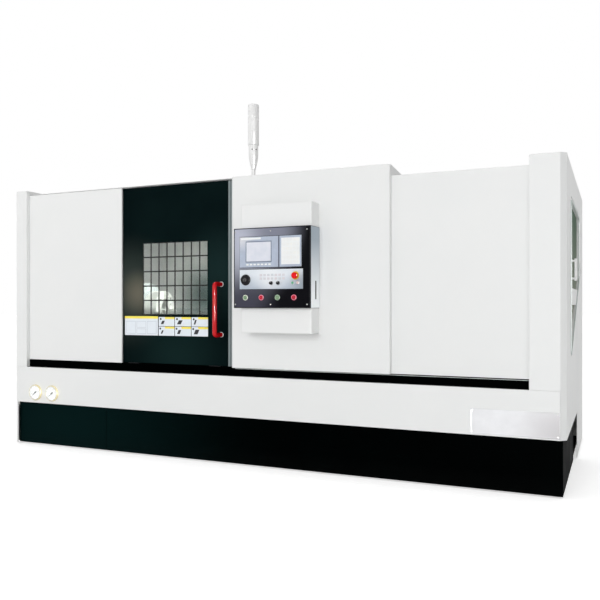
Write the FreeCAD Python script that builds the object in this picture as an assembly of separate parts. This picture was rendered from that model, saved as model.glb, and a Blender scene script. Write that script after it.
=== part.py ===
# CNC turning lathe with a 30 degree slanted bed, a sliding door and a console on the front cover.
# Millimetres. X runs along the spindle (left to right as the operator stands), Y from the front to the
# back, Z up. The origin is the middle of the machine's outline, on the floor.
import FreeCAD, Part
import math
import os
from FreeCAD import Vector

# ---- driving sizes: enclosure ----
sheet = 3.0                    # folded steel sheet
joint_gap = 0.5                # between neighbouring covers
left_cover_width = 135.0
left_panel_width = 875.0
doorway_width = 930.0
middle_width = 1080.0
right_panel_width = 800.0
right_cover_width = 195.0
cover_depth = 1985.0
left_cover_rise = 27.0         # over the front of the left roof
right_cover_rise = 52.0        # over the right roof
corner_bevel = 32.0            # bevelled front corners of the end covers
panel_setback = 30.0           # side panels stand this far behind the end covers
middle_reach = 6.0             # middle cover stands this far in front of the end covers
roof_height = 1848.0
roof_drop = 65.0               # the left roof falls by this much to the back
roof_slope_depth = 670.0
panel_return = 14.0
cover_return = 40.0
floor_gap = 10.0
floor_strip = 50.0             # left cover runs down to the floor beside the base
skirt_cutback = 1150.0         # right cover runs down to the floor behind this depth

# ---- driving sizes: base and slot ----
base_height = 323.0
deck_thickness = 20.0
base_depth = 1030.0
base_wall = 12.0
base_left_inset = 35.0
base_right_inset = 20.0
base_seam = 869.0              # joint in the front plate, from the left end
seam_width = 3.0
rib_clearance = 60.0           # under the cross ribs
rib_shift = 160.0              # ribs stand beside the feet
trough_wall = 12.0
trough_depth = 203.0
trough_width = 260.0
trough_length = 2500.0
trough_front = 90.0            # from the base's front
apron_height = 270.0
slot_height = 57.0
slot_depth = 83.5
channel_setback = 4.0          # channel's floor, behind the apron's face
channel_rise = 50.0            # channel's back wall, over the slot
guard_gap = 9.0                # between the slot's guard and the door
guard_drop = 1.0               # guard's edge, under the slot's upper edge
track_shift = 2.0              # track's middle, in front of the door's middle
apron_hem = 34.0
foot_radius = 45.0
foot_thickness = 14.0
foot_stem_radius = 12.0
foot_inset = 112.0
foot_plate = 25.0
foot_plate_width = 120.0
foot_columns = 3
foot_sides = 8

# ---- driving sizes: bed, rails and spindle line ----
slant = math.radians(30.0)
spindle_depth = 550.0          # spindle line behind the front
spindle_height = 1050.0
axis_height = 360.0            # spindle line over the slanted bed face
bed_belt_gap = 5.0             # between the spindle pulley and the bed's left end
bed_end_inset = 300.0          # bed's right end, from the machine's right end
bed_front_wall = 418.0         # depth of the bed's front wall behind the front
bed_rear_wall = 1048.0
bed_high_edge = 600.0
bed_lip = 130.0                # height of the bed's overhanging rear lip
bed_wall = 30.0
bed_rib = 40.0
bed_pockets = 3
bed_skin = 130.0               # cast thickness under the slanted face
rail_width = 34.0
rail_height = 30.0
rail_waist = 5.0
carriage_rails = (50.0, 470.0)     # along the slant
tailstock_rails = (-300.0, -130.0)
rail_end_inset = 420.0
rail_start_gap = 90.0          # from the headstock to the carriage's rails
tailstock_rail_lead = 670.0    # tailstock's rails reach this far left of it at rest
screw_line = 260.0             # along the slant
screw_depth = 35.0             # under the slanted face
trench_width = 120.0
trench_depth = 95.0
screw_radius = 16.0
journal_radius = 12.5
bearing_length = 50.0
bearing_rise = 10.0

# ---- driving sizes: headstock, spindle and chuck ----
running_gap = 0.05
seat_gap = 0.3
slide_gap = 0.2
headstock_length = 560.0
headstock_start = 315.0        # from the machine's left end
headstock_radius = 190.0
headstock_foot = 50.0
headstock_front_reach = 340.0  # foot, down the slant from the spindle line
headstock_rear_reach = 400.0
headstock_flare = 40.0
bearing_cap = 12.0
nose_gap = 4.0
spindle_radius = 75.0
spindle_bore = 40.0
nose_radius = 105.0
nose_length = 24.0
chuck_radius = 125.0
chuck_length = 110.0
chuck_bore = 42.0
jaw_width = 40.0
jaw_slot_depth = 30.0
jaw_stroke = 8.0
jaw_inner = 46.0
jaw_reach = 50.0
pulley_length = 70.0
spindle_pulley_radius = 140.0
motor_pulley_radius = 95.0
pulley_gap = 25.0              # between the spindle pulley and the headstock
belt_thickness = 6.0
belt_margin = 6.0
motor_depth = 1240.0
motor_height = 550.0
motor_size = 250.0
motor_length = 420.0
motor_shaft_radius = 24.0
motor_foot = 20.0

# ---- driving sizes: carriage, turret and tailstock ----
carriage_start = 870.0         # saddle's left end, from the chuck's front
saddle_length = 330.0
saddle_low = -20.0
saddle_high = 560.0
saddle_bottom = 46.0
saddle_top = 115.0
block_length = 90.0
block_width = 86.0
way_width = 50.0
way_height = 20.0
slide_low = 250.0
slide_high = 620.0
slide_top = 190.0
turret_line = 500.0            # along the slant at rest
turret_radius = 150.0
hub_radius = 50.0
disc_flat = 190.0
disc_thickness = 125.0
disc_gap = 5.0
station_count = 8
holder_height = 42.0
holder_half = 38.0
holder_length = 70.0
shank_size = 25.0
tool_radius = 270.0
feed_motor_size = 110.0
feed_motor_length = 190.0
tailstock_start = 1600.0       # body's left end, from the chuck's front
tailstock_length = 460.0
barrel_radius = 85.0
quill_radius = 50.0
quill_out = 120.0
quill_length = 450.0
centre_shank = 20.0
centre_body = 30.0
centre_length = 98.0
centre_shank_length = 110.0

# ---- driving sizes: door ----
door_gap = 17.0                # door's face behind the side panels' inside
door_thickness = 28.0
door_overlap = 15.0            # behind the left panel's edge
door_bottom_gap = 3.0          # over the slot's upper edge
door_top_gap = 5.0
strip_width = 73.0
strip_overlap = 12.5           # strip reaches this far behind the middle cover
window_left = 184.0            # from the door's left edge
window_width = 537.0
window_rise = 344.0            # over the door's lower edge
window_height = 509.0
glass_thickness = 5.0
glass_margin = 20.0
grid_columns = 8
grid_rows = 5
grid_bar = 9.0
grid_thickness = 4.0
handle_radius = 15.0
handle_reach = 88.0
handle_bend = 17.0
handle_sides = 14
washer = 4.0
handle_rise = 211.0            # lower foot, over the door's lower edge
handle_length = 342.0
handle_from_strip = 54.5
slide_block_length = 90.0
slide_block_width = 30.0
slide_block_height = 38.0
guide_width = 14.0
guide_height = 22.0

# ---- driving sizes: console ----
console_box_left = 132.0       # from the middle cover's left edge
console_box_width = 489.5
console_box_rise = 239.0       # over the slot's upper edge
console_box_height = 811.0
console_box_reach = 119.0
housing_overhang = 38.0        # housing stands out past the box on its left
housing_rise = 157.0           # over the box's lower edge
housing_height = 505.0
housing_reach = 24.0
housing_bevel = 8.0
side_slot_height = 112.0
side_slot_width = 10.0
unit_left = 44.0               # from the housing's left edge
unit_rise = 14.0               # over the operator panel
unit_width = 428.0
unit_height = 192.0
unit_flange = 4.0
unit_body = 16.0
operator_rise = 119.0          # over the housing's lower edge
operator_width = 438.0
operator_height = 123.0
screen_width = 184.0
screen_height = 134.0
handwheel_radius = 31.0
handwheel_thickness = 16.0
crank_radius = 5.0
crank_length = 16.0
stop_radius = 20.0
stop_plate_radius = 30.0
stop_plate_rise = 1.5
button_radius = 12.5
control_sides = 20
bore_sides = 12
wheel_sides = 30
chuck_sides = 40
button_spacing = 112.5
button_rise = 66.0             # over the housing's lower edge
button_travel = 3.0
stop_travel = 5.0
small_button_radius = 8.0
knob_radius = 11.0
stop_from_right = 50.0         # places on the operator panel
stop_rise = 81.0
wheel_from_left = 43.0
wheel_rise = 58.5
knob_from_left = 223.0
knob_spacing = 48.5
knob_rise = 37.0
small_from_left = 370.5
small_spacing = 33.5
button_from_left = 39.5
keypad_from_left = 300.0

# ---- driving sizes: gauges, signal tower, end door, cabinet ----
gauge_radius = 59.0
gauge_body_radius = 50.0
gauge_reach = 14.0
gauge_body_depth = 40.0
gauge_first = 228.0            # from the left end
gauge_spacing = 161.0
gauge_rise = 78.5              # over the apron's lower edge
gauge_sides = 24
pointer_length = 36.0
pointer_rest = -130.0
spigot_radius = 3.0
tower_left = 1938.0            # from the left end
tower_depth = 300.0
tower_neck = 13.5
tower_tube = 38.5
tower_rise = 556.0             # over the front of the left roof
tower_tube_length = 284.0
tower_collar_length = 59.0
tower_cone_length = 102.0
end_door_front = 392.0
end_door_rear = 1400.0
end_door_top_gap = 178.0       # under the cover's top
end_door_front_low = 712.0
end_door_rear_low = 1215.0
end_door_corner = 70.0
corner_steps = 6
end_door_gap = 4.0
end_door_thickness = 12.0
end_frame = 34.0
end_rail_bottom = 1066.0
end_rail_height = 104.0
end_handle_reach = 30.0
end_handle_rise = 42.0         # over the cross rail
end_handle_length = 136.0
end_hinge_drops = (432.0, 162.0)   # under the side door's top
lower_hinge_rise = 250.0       # on the rear cabinet
upper_hinge_drop = 300.0
hinge_radius = 7.0
hinge_pin = 3.5
hinge_length = 40.0
hinge_sides = 12
hinge_offset = hinge_radius + 1.0  # pin line, in front of the sheet
cabinet_left = 1015.0          # from the left end
cabinet_width = 1200.0
cabinet_bottom = 150.0
cabinet_top_gap = 148.0        # under the roof
cabinet_recess = 435.0
cabinet_door_thickness = 22.0
cabinet_door_gap = 3.0
latch_reach = 16.0
drive_count = 4
drive_width = 150.0
drive_height = 380.0
drive_depth = 220.0
drive_rise = 750.0             # over the cabinet's floor
drive_nose = 40.0
louvre_count = 9
louvre_pitch = 40.0
louvre_height = 12.0
louvre_width = 420.0
louvre_inset = 560.0           # from the cabinet
louvre_rise = 1000.0           # over the cabinet's floor
rear_return = 30.0

# ---- places worked out from the sizes ----
cover_length = (left_cover_width + left_panel_width + doorway_width + middle_width
                + right_panel_width + right_cover_width)
crank_reach = unit_flange + seat_gap + handwheel_thickness + crank_length
front_reach = middle_reach + console_box_reach + housing_reach + crank_reach
rear_reach = cabinet_door_gap + cabinet_door_thickness + latch_reach
roof_front_height = roof_height + roof_drop
left_cover_height = roof_front_height + left_cover_rise
right_cover_height = roof_height + right_cover_rise
slot_bottom = base_height + apron_height
slot_top = slot_bottom + slot_height
cabinet_height = roof_height - cabinet_top_gap - cabinet_bottom
end_door_top = right_cover_height - end_door_top_gap
end_handle_low = end_rail_bottom + end_rail_height + end_handle_rise
end_handle_high = end_handle_low + end_handle_length
left_x = -(cover_length + end_handle_reach) / 2
right_x = left_x + cover_length
front_y = -(cover_depth + front_reach + rear_reach) / 2 + front_reach
rear_y = front_y + cover_depth
panel_y = front_y + panel_setback
middle_y = front_y - middle_reach
left_panel_x = left_x + left_cover_width
doorway_x = left_panel_x + left_panel_width
middle_x = doorway_x + doorway_width
right_panel_x = middle_x + middle_width
right_cover_x = right_panel_x + right_panel_width
spindle_y = front_y + spindle_depth
spindle_z = spindle_height
foot_y = spindle_y + axis_height * math.sin(slant)
foot_z = spindle_z - axis_height * math.cos(slant)
panel_top = roof_front_height - 2 * sheet
door_bottom = slot_top + door_bottom_gap
door_top = panel_top - door_top_gap
window_bottom = door_bottom + window_rise
handle_low = door_bottom + handle_rise
handle_high = handle_low + handle_length
console_box_bottom = slot_top + console_box_rise
housing_bottom = console_box_bottom + housing_rise
operator_bottom = housing_bottom + operator_rise
unit_bottom = operator_bottom + operator_height + unit_rise
button_height = housing_bottom + button_rise
gauge_height = base_height + gauge_rise
slot_back_y = front_y + slot_depth
door_y = panel_y + sheet + door_gap
door_x = doorway_x - door_overlap
headstock_x = left_x + headstock_start
chuck_x = headstock_x + headstock_length + bearing_cap + nose_gap + nose_length
chuck_face = chuck_x + chuck_length
saddle_x = chuck_face + carriage_start
tailstock_x = chuck_face + tailstock_start
pulley_x1 = headstock_x - pulley_gap
pulley_x0 = pulley_x1 - pulley_length
bed_x0 = pulley_x1 + bed_belt_gap
bed_x1 = right_x - bed_end_inset
rail_end_x = right_x - rail_end_inset
carriage_rail_x0 = headstock_x + headstock_length + rail_start_gap
tailstock_rail_x0 = tailstock_x - tailstock_rail_lead
gauge_places = [left_x + gauge_first + index * gauge_spacing for index in (0, 1)]


# ---- shape helpers ----
def box(x0, x1, y0, y1, z0, z1):
    return Part.makeBox(x1 - x0, y1 - y0, z1 - z0, Vector(x0, y0, z0))


def prism(corners, reach):
    return Part.Face(Part.makePolygon(corners + corners[:1])).extrude(reach)


def prism_x(section, x0, x1):
    return prism([Vector(x0, y, z) for y, z in section], Vector(x1 - x0, 0, 0))


def prism_z(section, z0, z1):
    return prism([Vector(x, y, z0) for x, y in section], Vector(0, 0, z1 - z0))


def on_slant(u, h):
    y = foot_y + u * math.cos(slant) - h * math.sin(slant)
    z = foot_z + u * math.sin(slant) + h * math.cos(slant)
    return y, z


def slant_prism(section, x0, x1):
    return prism_x([on_slant(u, h) for u, h in section], x0, x1)


def slant_box(x0, x1, u0, u1, h0, h1):
    return slant_prism([(u0, h0), (u1, h0), (u1, h1), (u0, h1)], x0, x1)


def rod(x, y, z, radius, length, direction):
    return Part.makeCylinder(radius, length, Vector(x, y, z), direction)


def rod_x(x0, x1, y, z, radius):
    return rod(x0, y, z, radius, x1 - x0, Vector(1, 0, 0))


def rod_y(y0, y1, x, z, radius):
    return rod(x, y0, z, radius, y1 - y0, Vector(0, 1, 0))


def rod_z(z0, z1, x, y, radius):
    return rod(x, y, z0, radius, z1 - z0, Vector(0, 0, 1))


def ring_points(centre, axis, side, radius, sides):
    across = axis.cross(side)
    turns = [2 * math.pi * (index + 0.5) / sides for index in range(sides)]
    return [centre + side * (radius * math.cos(turn)) + across * (radius * math.sin(turn)) for turn in turns]


def flat_sided_taper(low, high):
    faces = [Part.Face(Part.makePolygon(ring + ring[:1])) for ring in (low, high)]
    for index in range(len(low)):
        corners = [low[index - 1], low[index], high[index], high[index - 1]]
        faces.append(Part.Face(Part.makePolygon(corners + corners[:1])))
    solid = Part.makeSolid(Part.makeShell(faces))
    return solid if solid.Volume > 0 else solid.reversed()


def many_sided(profile, origin, axis, side, sides):
    # small round hardware, many-sided to keep it light; profile holds (distance along axis, radius)
    solids = []
    for (start, first), (end, last) in zip(profile, profile[1:]):
        if start == end:
            continue
        low = ring_points(origin + axis * start, axis, side, first, sides)
        if first == last:
            solids.append(prism(low, axis * (end - start)))
        else:
            solids.append(flat_sided_taper(low, ring_points(origin + axis * end, axis, side, last, sides)))
    return solids[0] if len(solids) == 1 else joined(*solids)


def sided_x(profile, y, z, sides):
    return many_sided(profile, Vector(0, y, z), Vector(1, 0, 0), Vector(0, 0, 1), sides)


def sided_y(profile, x, z, sides):
    return many_sided(profile, Vector(x, 0, z), Vector(0, 1, 0), Vector(0, 0, 1), sides)


def sided_z(profile, x, y, sides):
    return many_sided(profile, Vector(x, y, 0), Vector(0, 0, 1), Vector(1, 0, 0), sides)


def sided_bore(radius, sides):
    # corner radius of a many-sided bore whose flats lie at the given radius
    return radius / math.cos(math.pi / sides)


def joined(first, *others):
    return first.fuse(list(others)).removeSplitter()


def without(body, *tools):
    return body.cut(list(tools))


def folded(path, thickness):
    # corners of a bent sheet whose outer face follows path; a positive thickness lies on its left
    inner = []
    directions = []
    for start, end in zip(path, path[1:]):
        run = math.hypot(end[0] - start[0], end[1] - start[1])
        directions.append(((end[0] - start[0]) / run, (end[1] - start[1]) / run))
    for index, corner in enumerate(path):
        before = directions[max(index - 1, 0)]
        after = directions[min(index, len(directions) - 1)]
        share = thickness / (1 + before[0] * after[0] + before[1] * after[1])
        inner.append((corner[0] - share * (before[1] + after[1]), corner[1] + share * (before[0] + after[0])))
    return path + inner[::-1]


def rounded_prism_x(section, radius, x0, x1):
    # a prism along X whose corners are rounded in short flats
    rounded = []
    for index, corner in enumerate(section):
        before = section[index - 1]
        after = section[(index + 1) % len(section)]
        ways = []
        for other in (before, after):
            run = math.hypot(other[0] - corner[0], other[1] - corner[1])
            ways.append(((other[0] - corner[0]) / run, (other[1] - corner[1]) / run))
        half = math.acos(ways[0][0] * ways[1][0] + ways[0][1] * ways[1][1]) / 2
        middle = (ways[0][0] + ways[1][0], ways[0][1] + ways[1][1])
        size = math.hypot(*middle)
        reach = radius / math.sin(half)
        centre = (corner[0] + middle[0] / size * reach, corner[1] + middle[1] / size * reach)
        touch = [(corner[0] + way[0] * radius / math.tan(half), corner[1] + way[1] * radius / math.tan(half))
                 for way in ways]
        first, last = [math.atan2(point[1] - centre[1], point[0] - centre[0]) for point in touch]
        sweep = (last - first + math.pi) % (2 * math.pi) - math.pi
        for step in range(corner_steps + 1):
            turn = first + sweep * step / corner_steps
            rounded.append((centre[0] + radius * math.cos(turn), centre[1] + radius * math.sin(turn)))
    return prism_x(rounded, x0, x1)


def save(name, *solids):
    shape = solids[0] if len(solids) == 1 else Part.makeCompound(list(solids))
    shape.exportStep("parts/" + name + ".step")


# ---- base ----
base_x0 = left_x + base_left_inset
base_x1 = right_x - base_right_inset
base_y0 = front_y + panel_setback
base_y1 = base_y0 + base_depth
trough_y0 = base_y0 + trough_front
trough_y1 = trough_y0 + trough_width
trough_x0 = chuck_x - 60
trough_x1 = trough_x0 + trough_length
foot_span = (base_x1 - base_x0 - 2 * foot_inset) / (foot_columns - 1)
foot_places = [(base_x0 + foot_inset + column * foot_span, y)
               for column in range(foot_columns)
               for y in (base_y0 + foot_inset, base_y1 - foot_inset)]
foot_plate_z = floor_gap + 2 * foot_thickness
deck_z = base_height - deck_thickness
trough_z = base_height - trough_depth - trough_wall
trough_left = trough_x0 - trough_wall
trough_right = trough_x1 + trough_wall
trough_near = trough_y0 - trough_wall
trough_far = trough_y1 + trough_wall
rib_places = [base_x0 + share * (base_x1 - base_x0) + rib_shift for share in (0.25, 0.5, 0.75)]


def front_plate(x0, x1, notch_at):
    # front plate of the base with one upper corner clipped at the joint
    corners = [(x0, floor_gap), (x1, floor_gap), (x1, base_height), (x0, base_height)]
    clip = 8
    if notch_at == x1:
        corners[2:3] = [(x1, base_height - clip), (x1 - clip / 2, base_height)]
    else:
        corners[3:4] = [(x0 + clip, base_height), (x0, base_height - clip)]
    return prism([Vector(x, base_y0, z) for x, z in corners], Vector(0, base_wall, 0))


def make_base():
    # welded from flat plates that meet edge to edge
    seam_x = left_x + base_seam
    inside_x0 = base_x0 + base_wall
    inside_x1 = base_x1 - base_wall
    inside_y0 = base_y0 + base_wall
    inside_y1 = base_y1 - base_wall
    plates = [front_plate(base_x0, seam_x, seam_x),
              front_plate(seam_x + seam_width, base_x1, seam_x + seam_width),
              box(base_x0, base_x1, inside_y1, base_y1, floor_gap, base_height),
              box(base_x0, inside_x0, inside_y0, inside_y1, floor_gap, base_height),
              box(inside_x1, base_x1, inside_y0, inside_y1, floor_gap, base_height)]
    plates += [box(inside_x0, trough_left, inside_y0, inside_y1, deck_z, base_height),
               box(trough_right, inside_x1, inside_y0, inside_y1, deck_z, base_height),
               box(trough_left, trough_right, inside_y0, trough_near, deck_z, base_height),
               box(trough_left, trough_right, trough_far, inside_y1, deck_z, base_height)]
    plates += [box(trough_left, trough_right, trough_near, trough_far, trough_z, trough_z + trough_wall),
               box(trough_left, trough_x0, trough_near, trough_far, trough_z + trough_wall, base_height),
               box(trough_x1, trough_right, trough_near, trough_far, trough_z + trough_wall, base_height),
               box(trough_x0, trough_x1, trough_near, trough_y0, trough_z + trough_wall, base_height),
               box(trough_x0, trough_x1, trough_y1, trough_far, trough_z + trough_wall, base_height)]
    for x in rib_places:
        plates.append(box(x, x + base_wall, trough_far, inside_y1, floor_gap + rib_clearance, deck_z))
    half = foot_plate_width / 2
    for x, y in foot_places:
        near_wall = inside_y0 if y < (base_y0 + base_y1) / 2 else inside_y1
        low, high = sorted((near_wall, y + (y - near_wall) * 0.5))
        plates.append(box(x - half, x + half, low, high, foot_plate_z, foot_plate_z + foot_plate))
    save("base_frame", *plates)
    profile = [(0, foot_radius), (foot_thickness, foot_radius), (foot_thickness, foot_stem_radius),
               (foot_plate_z, foot_stem_radius)]
    save("levelling_feet", *[sided_z(profile, x, y, foot_sides) for x, y in foot_places])


# ---- slanted bed with its rails and feed screw ----
trench_low = screw_line - trench_width / 2
trench_high = screw_line + trench_width / 2
screw_x0 = carriage_rail_x0 + 10
screw_x1 = rail_end_x + 10
screw_y, screw_z = on_slant(screw_line, -screw_depth)


def slant_height(y, h):
    # height of the plane h over the slanted face, at depth y
    u = (y - foot_y + h * math.sin(slant)) / math.cos(slant)
    return foot_z + u * math.sin(slant) + h * math.cos(slant)


def make_bed():
    front_wall = front_y + bed_front_wall
    rear_wall = front_y + bed_rear_wall
    high_y, high_z = on_slant(bed_high_edge, 0)
    under_lip = slant_height(rear_wall, 0) - bed_lip * 1.4
    bed = prism_x([(front_wall, base_height), (front_wall, slant_height(front_wall, 0)), (high_y, high_z),
                   (high_y, high_z - bed_lip), (rear_wall, under_lip), (rear_wall, base_height)],
                  bed_x0, bed_x1)
    pocket_front = front_wall + bed_wall
    pocket_rear = rear_wall - bed_wall
    pocket = [(pocket_front, base_height - 1), (pocket_front, slant_height(pocket_front, -bed_skin)),
              (pocket_rear, slant_height(pocket_rear, -bed_skin)), (pocket_rear, base_height - 1)]
    pitch = (bed_x1 - bed_x0 - bed_rib) / bed_pockets
    pockets = [prism_x(pocket, bed_x0 + bed_rib + index * pitch, bed_x0 + (index + 1) * pitch)
               for index in range(bed_pockets)]
    trench = slant_box(screw_x0 - bearing_length - 20, bed_x1 + 1, trench_low, trench_high, -trench_depth, 50)
    bed = without(bed, trench, *pockets)
    bearings = [slant_box(x, x + bearing_length, trench_low, trench_high, -trench_depth, bearing_rise)
                for x in (screw_x0 - bearing_length, screw_x1)]
    bores = [rod_x(x - 1, x + bearing_length + 1, screw_y, screw_z, journal_radius + running_gap)
             for x in (screw_x0 - bearing_length, screw_x1)]
    save("slant_bed", without(joined(bed, *bearings), *bores))


def rail_section(line):
    half = rail_width / 2
    low = rail_height * 0.35
    high = rail_height * 0.65
    side = [(half, 0), (half, low), (half - rail_waist, rail_height * 0.5), (half, high), (half, rail_height)]
    return [(line + u, h) for u, h in side] + [(line - u, h) for u, h in side[::-1]]


def make_rails():
    rails = [slant_prism(rail_section(line), carriage_rail_x0, rail_end_x) for line in carriage_rails]
    rails += [slant_prism(rail_section(line), tailstock_rail_x0, rail_end_x) for line in tailstock_rails]
    save("guide_rails", *rails)


def make_feed_screw():
    end = screw_x1 + bearing_length
    save("ball_screw", sided_x([(screw_x0 - bearing_length, journal_radius), (screw_x0 + 1, journal_radius),
                                (screw_x0 + 1, screw_radius), (screw_x1 - 1, screw_radius),
                                (screw_x1 - 1, journal_radius), (end + 40, journal_radius)],
                               screw_y, screw_z, control_sides))
    half = feed_motor_size / 2
    low = -screw_depth - half
    motor = slant_box(end, end + 16, screw_line - half, screw_line + half, low, low + feed_motor_size)
    can = slant_box(end + 16, end + feed_motor_length, screw_line - half + 8, screw_line + half - 8,
                    low + 8, low + feed_motor_size - 8)
    plug = slant_box(end + feed_motor_length - 60, end + feed_motor_length - 20, screw_line - 18,
                     screw_line + 18, low + feed_motor_size - 9, low + feed_motor_size + 22)
    bore_radius = sided_bore(journal_radius + running_gap, bore_sides)
    recess = sided_x([(end - 1, bore_radius), (end + 44, bore_radius)], screw_y, screw_z, bore_sides)
    save("feed_motor", without(joined(motor, can, plug), recess))


# ---- headstock, spindle, chuck and drive ----
def make_headstock():
    x0 = headstock_x
    x1 = headstock_x + headstock_length
    flared = headstock_radius + headstock_flare
    section = [(-headstock_front_reach, 0), (headstock_rear_reach, 0), (headstock_rear_reach, headstock_foot),
               (flared, headstock_foot), (headstock_radius, axis_height), (-headstock_radius, axis_height),
               (-flared, headstock_foot), (-headstock_front_reach, headstock_foot)]
    housing = slant_prism(section, x0, x1)
    barrel = sided_x([(x0, headstock_radius), (x1, headstock_radius)], spindle_y, spindle_z, wheel_sides)
    cap_radius = headstock_radius * 0.7
    cap = sided_x([(x1 - 1, cap_radius), (x1 + bearing_cap, cap_radius)], spindle_y, spindle_z, wheel_sides)
    bore = rod_x(x0 - 1, x1 + bearing_cap + 1, spindle_y, spindle_z, spindle_radius + running_gap)
    save("headstock", without(joined(housing, barrel, cap), bore))


def make_spindle():
    nose = chuck_x - nose_length
    shaft = sided_x([(pulley_x0, spindle_pulley_radius), (pulley_x1, spindle_pulley_radius),
                     (pulley_x1, spindle_radius), (nose, spindle_radius), (nose, nose_radius),
                     (chuck_x, nose_radius)], spindle_y, spindle_z, wheel_sides)
    bore = sided_x([(pulley_x0 - 1, spindle_bore), (chuck_x + 1, spindle_bore)], spindle_y, spindle_z,
                   wheel_sides)
    save("spindle", without(shaft, bore))


def around_spindle(shape, turn):
    turned_copy = shape.copy()
    turned_copy.rotate(Vector(0, spindle_y, spindle_z), Vector(1, 0, 0), turn)
    return turned_copy


jaw_turns = (0, 120, 240)
jaw_outer = chuck_radius - jaw_stroke - 2
jaw_lip = 6.0                  # the jaw's foot is wider than its stem
foot_height = 12.0


def make_chuck():
    body = without(sided_x([(chuck_x, chuck_radius), (chuck_face, chuck_radius)], spindle_y, spindle_z,
                           chuck_sides),
                   sided_x([(chuck_x - 1, chuck_bore), (chuck_face + 1, chuck_bore)], spindle_y, spindle_z,
                           wheel_sides))
    half = jaw_width / 2 + slide_gap
    back = chuck_face - jaw_slot_depth - slide_gap
    stem = box(back, chuck_face + 1, spindle_y - half, spindle_y + half,
               spindle_z + chuck_bore - 8, spindle_z + chuck_radius + 1)
    foot = box(back, back + foot_height + 2 * slide_gap, spindle_y - half - jaw_lip,
               spindle_y + half + jaw_lip, spindle_z + chuck_bore - 8, spindle_z + chuck_radius + 1)
    slot = stem.fuse(foot)
    save("chuck_body", without(body, *[around_spindle(slot, turn) for turn in jaw_turns]))
    half = jaw_width / 2
    back = chuck_face - jaw_slot_depth
    jaw = box(back, chuck_face + 1, spindle_y - half, spindle_y + half,
              spindle_z + jaw_inner, spindle_z + jaw_outer)
    jaw_foot = box(back, back + foot_height, spindle_y - half - jaw_lip, spindle_y + half + jaw_lip,
                   spindle_z + jaw_inner, spindle_z + jaw_outer)
    step = box(chuck_face + 0.5, chuck_face + jaw_reach * 0.5, spindle_y - half, spindle_y + half,
               spindle_z + jaw_inner, spindle_z + jaw_outer)
    tip = box(chuck_face + 0.5, chuck_face + jaw_reach, spindle_y - half, spindle_y + half,
              spindle_z + jaw_inner, spindle_z + (jaw_inner + jaw_outer) / 2)
    jaw = joined(jaw, jaw_foot, step, tip)
    for side in (1, -1):
        y = spindle_y + side * half
        wedge = prism([Vector(chuck_face + 2, y, spindle_z + jaw_inner - 1),
                       Vector(chuck_face + 2, y, spindle_z + jaw_inner + 14),
                       Vector(chuck_face + 2, y - side * 13, spindle_z + jaw_inner - 1)],
                      Vector(jaw_reach, 0, 0))
        jaw = without(jaw, wedge)
    for index, turn in enumerate(jaw_turns):
        save("jaw_" + str(index + 1), around_spindle(jaw, turn))


motor_y = front_y + motor_depth
motor_z = motor_height


def belt_loop(rise):
    # the flat loop round both pulleys, in short flats that keep rise outside their running faces
    run = Vector(0, motor_y - spindle_y, motor_z - spindle_z)
    lean = math.acos((spindle_pulley_radius - motor_pulley_radius) / run.Length)
    heading = math.atan2(run.z, run.y)
    corners = []
    for y, z, radius, first, last in [
            (spindle_y, spindle_z, spindle_pulley_radius, heading + lean, heading + 2 * math.pi - lean),
            (motor_y, motor_z, motor_pulley_radius, heading - lean, heading + lean)]:
        steps = math.ceil((last - first) / math.radians(360 / wheel_sides))
        reach = (radius + rise) / math.cos((last - first) / steps / 2)
        for index in range(steps + 1):
            turn = first + (last - first) * index / steps
            corners.append(Vector(pulley_x0 + belt_margin, y + reach * math.cos(turn),
                                  z + reach * math.sin(turn)))
    return corners


def make_drive():
    reach = Vector(pulley_length - 2 * belt_margin, 0, 0)
    belt = without(prism(belt_loop(seat_gap + belt_thickness), reach), prism(belt_loop(seat_gap), reach))
    save("drive_belt", belt)
    motor_x0 = pulley_x1 + 12
    motor_x1 = motor_x0 + motor_length
    save("motor_pulley", sided_x([(pulley_x0, motor_pulley_radius), (pulley_x1, motor_pulley_radius),
                                  (pulley_x1, motor_shaft_radius), (motor_x1 - 40, motor_shaft_radius)],
                                 motor_y, motor_z, wheel_sides))
    half = motor_size / 2
    flange = box(motor_x0, motor_x0 + 18, motor_y - half, motor_y + half, motor_z - half, motor_z + half)
    ribs = []
    rib_count = 5
    pitch = (motor_size - 20) / rib_count
    for index in range(rib_count):
        z = motor_z - half + 12 + index * pitch
        ribs.append(box(motor_x0 + 18, motor_x1, motor_y - half + 4, motor_y + half - 4,
                        z, z + pitch * 0.5))
    core = box(motor_x0 + 18, motor_x1, motor_y - half + 16, motor_y + half - 16,
               motor_z - half + 2, motor_z + half - 12)
    fan_half = half - 8
    fan_corner = fan_half * 0.6
    fan = prism_x([(motor_y + y, motor_z + z) for y, z in
                   [(-fan_half, -fan_corner), (-fan_corner, -fan_half), (fan_corner, -fan_half),
                    (fan_half, -fan_corner), (fan_half, fan_corner), (fan_corner, fan_half),
                    (-fan_corner, fan_half), (-fan_half, fan_corner)]], motor_x1 - 1, motor_x1 + 60)
    rear_wall = front_y + bed_rear_wall
    foot = box(motor_x0 + 30, motor_x1 - 30, rear_wall, motor_y + half,
               motor_z - half - motor_foot, motor_z - half + 3)
    bracket = prism_x([(rear_wall, motor_z - half), (rear_wall, motor_z - half - 95),
                       (motor_y + half * 0.6, motor_z - half)], motor_x0 + 190, motor_x0 + 210)
    recess = rod_x(motor_x0 - 1, motor_x1 - 36, motor_y, motor_z, motor_shaft_radius + running_gap)
    save("spindle_motor", without(joined(flange, core, fan, foot, bracket, *ribs), recess))


# ---- carriage, cross slide, turret ----
turret_y, turret_z = on_slant(turret_line, axis_height)


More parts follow.
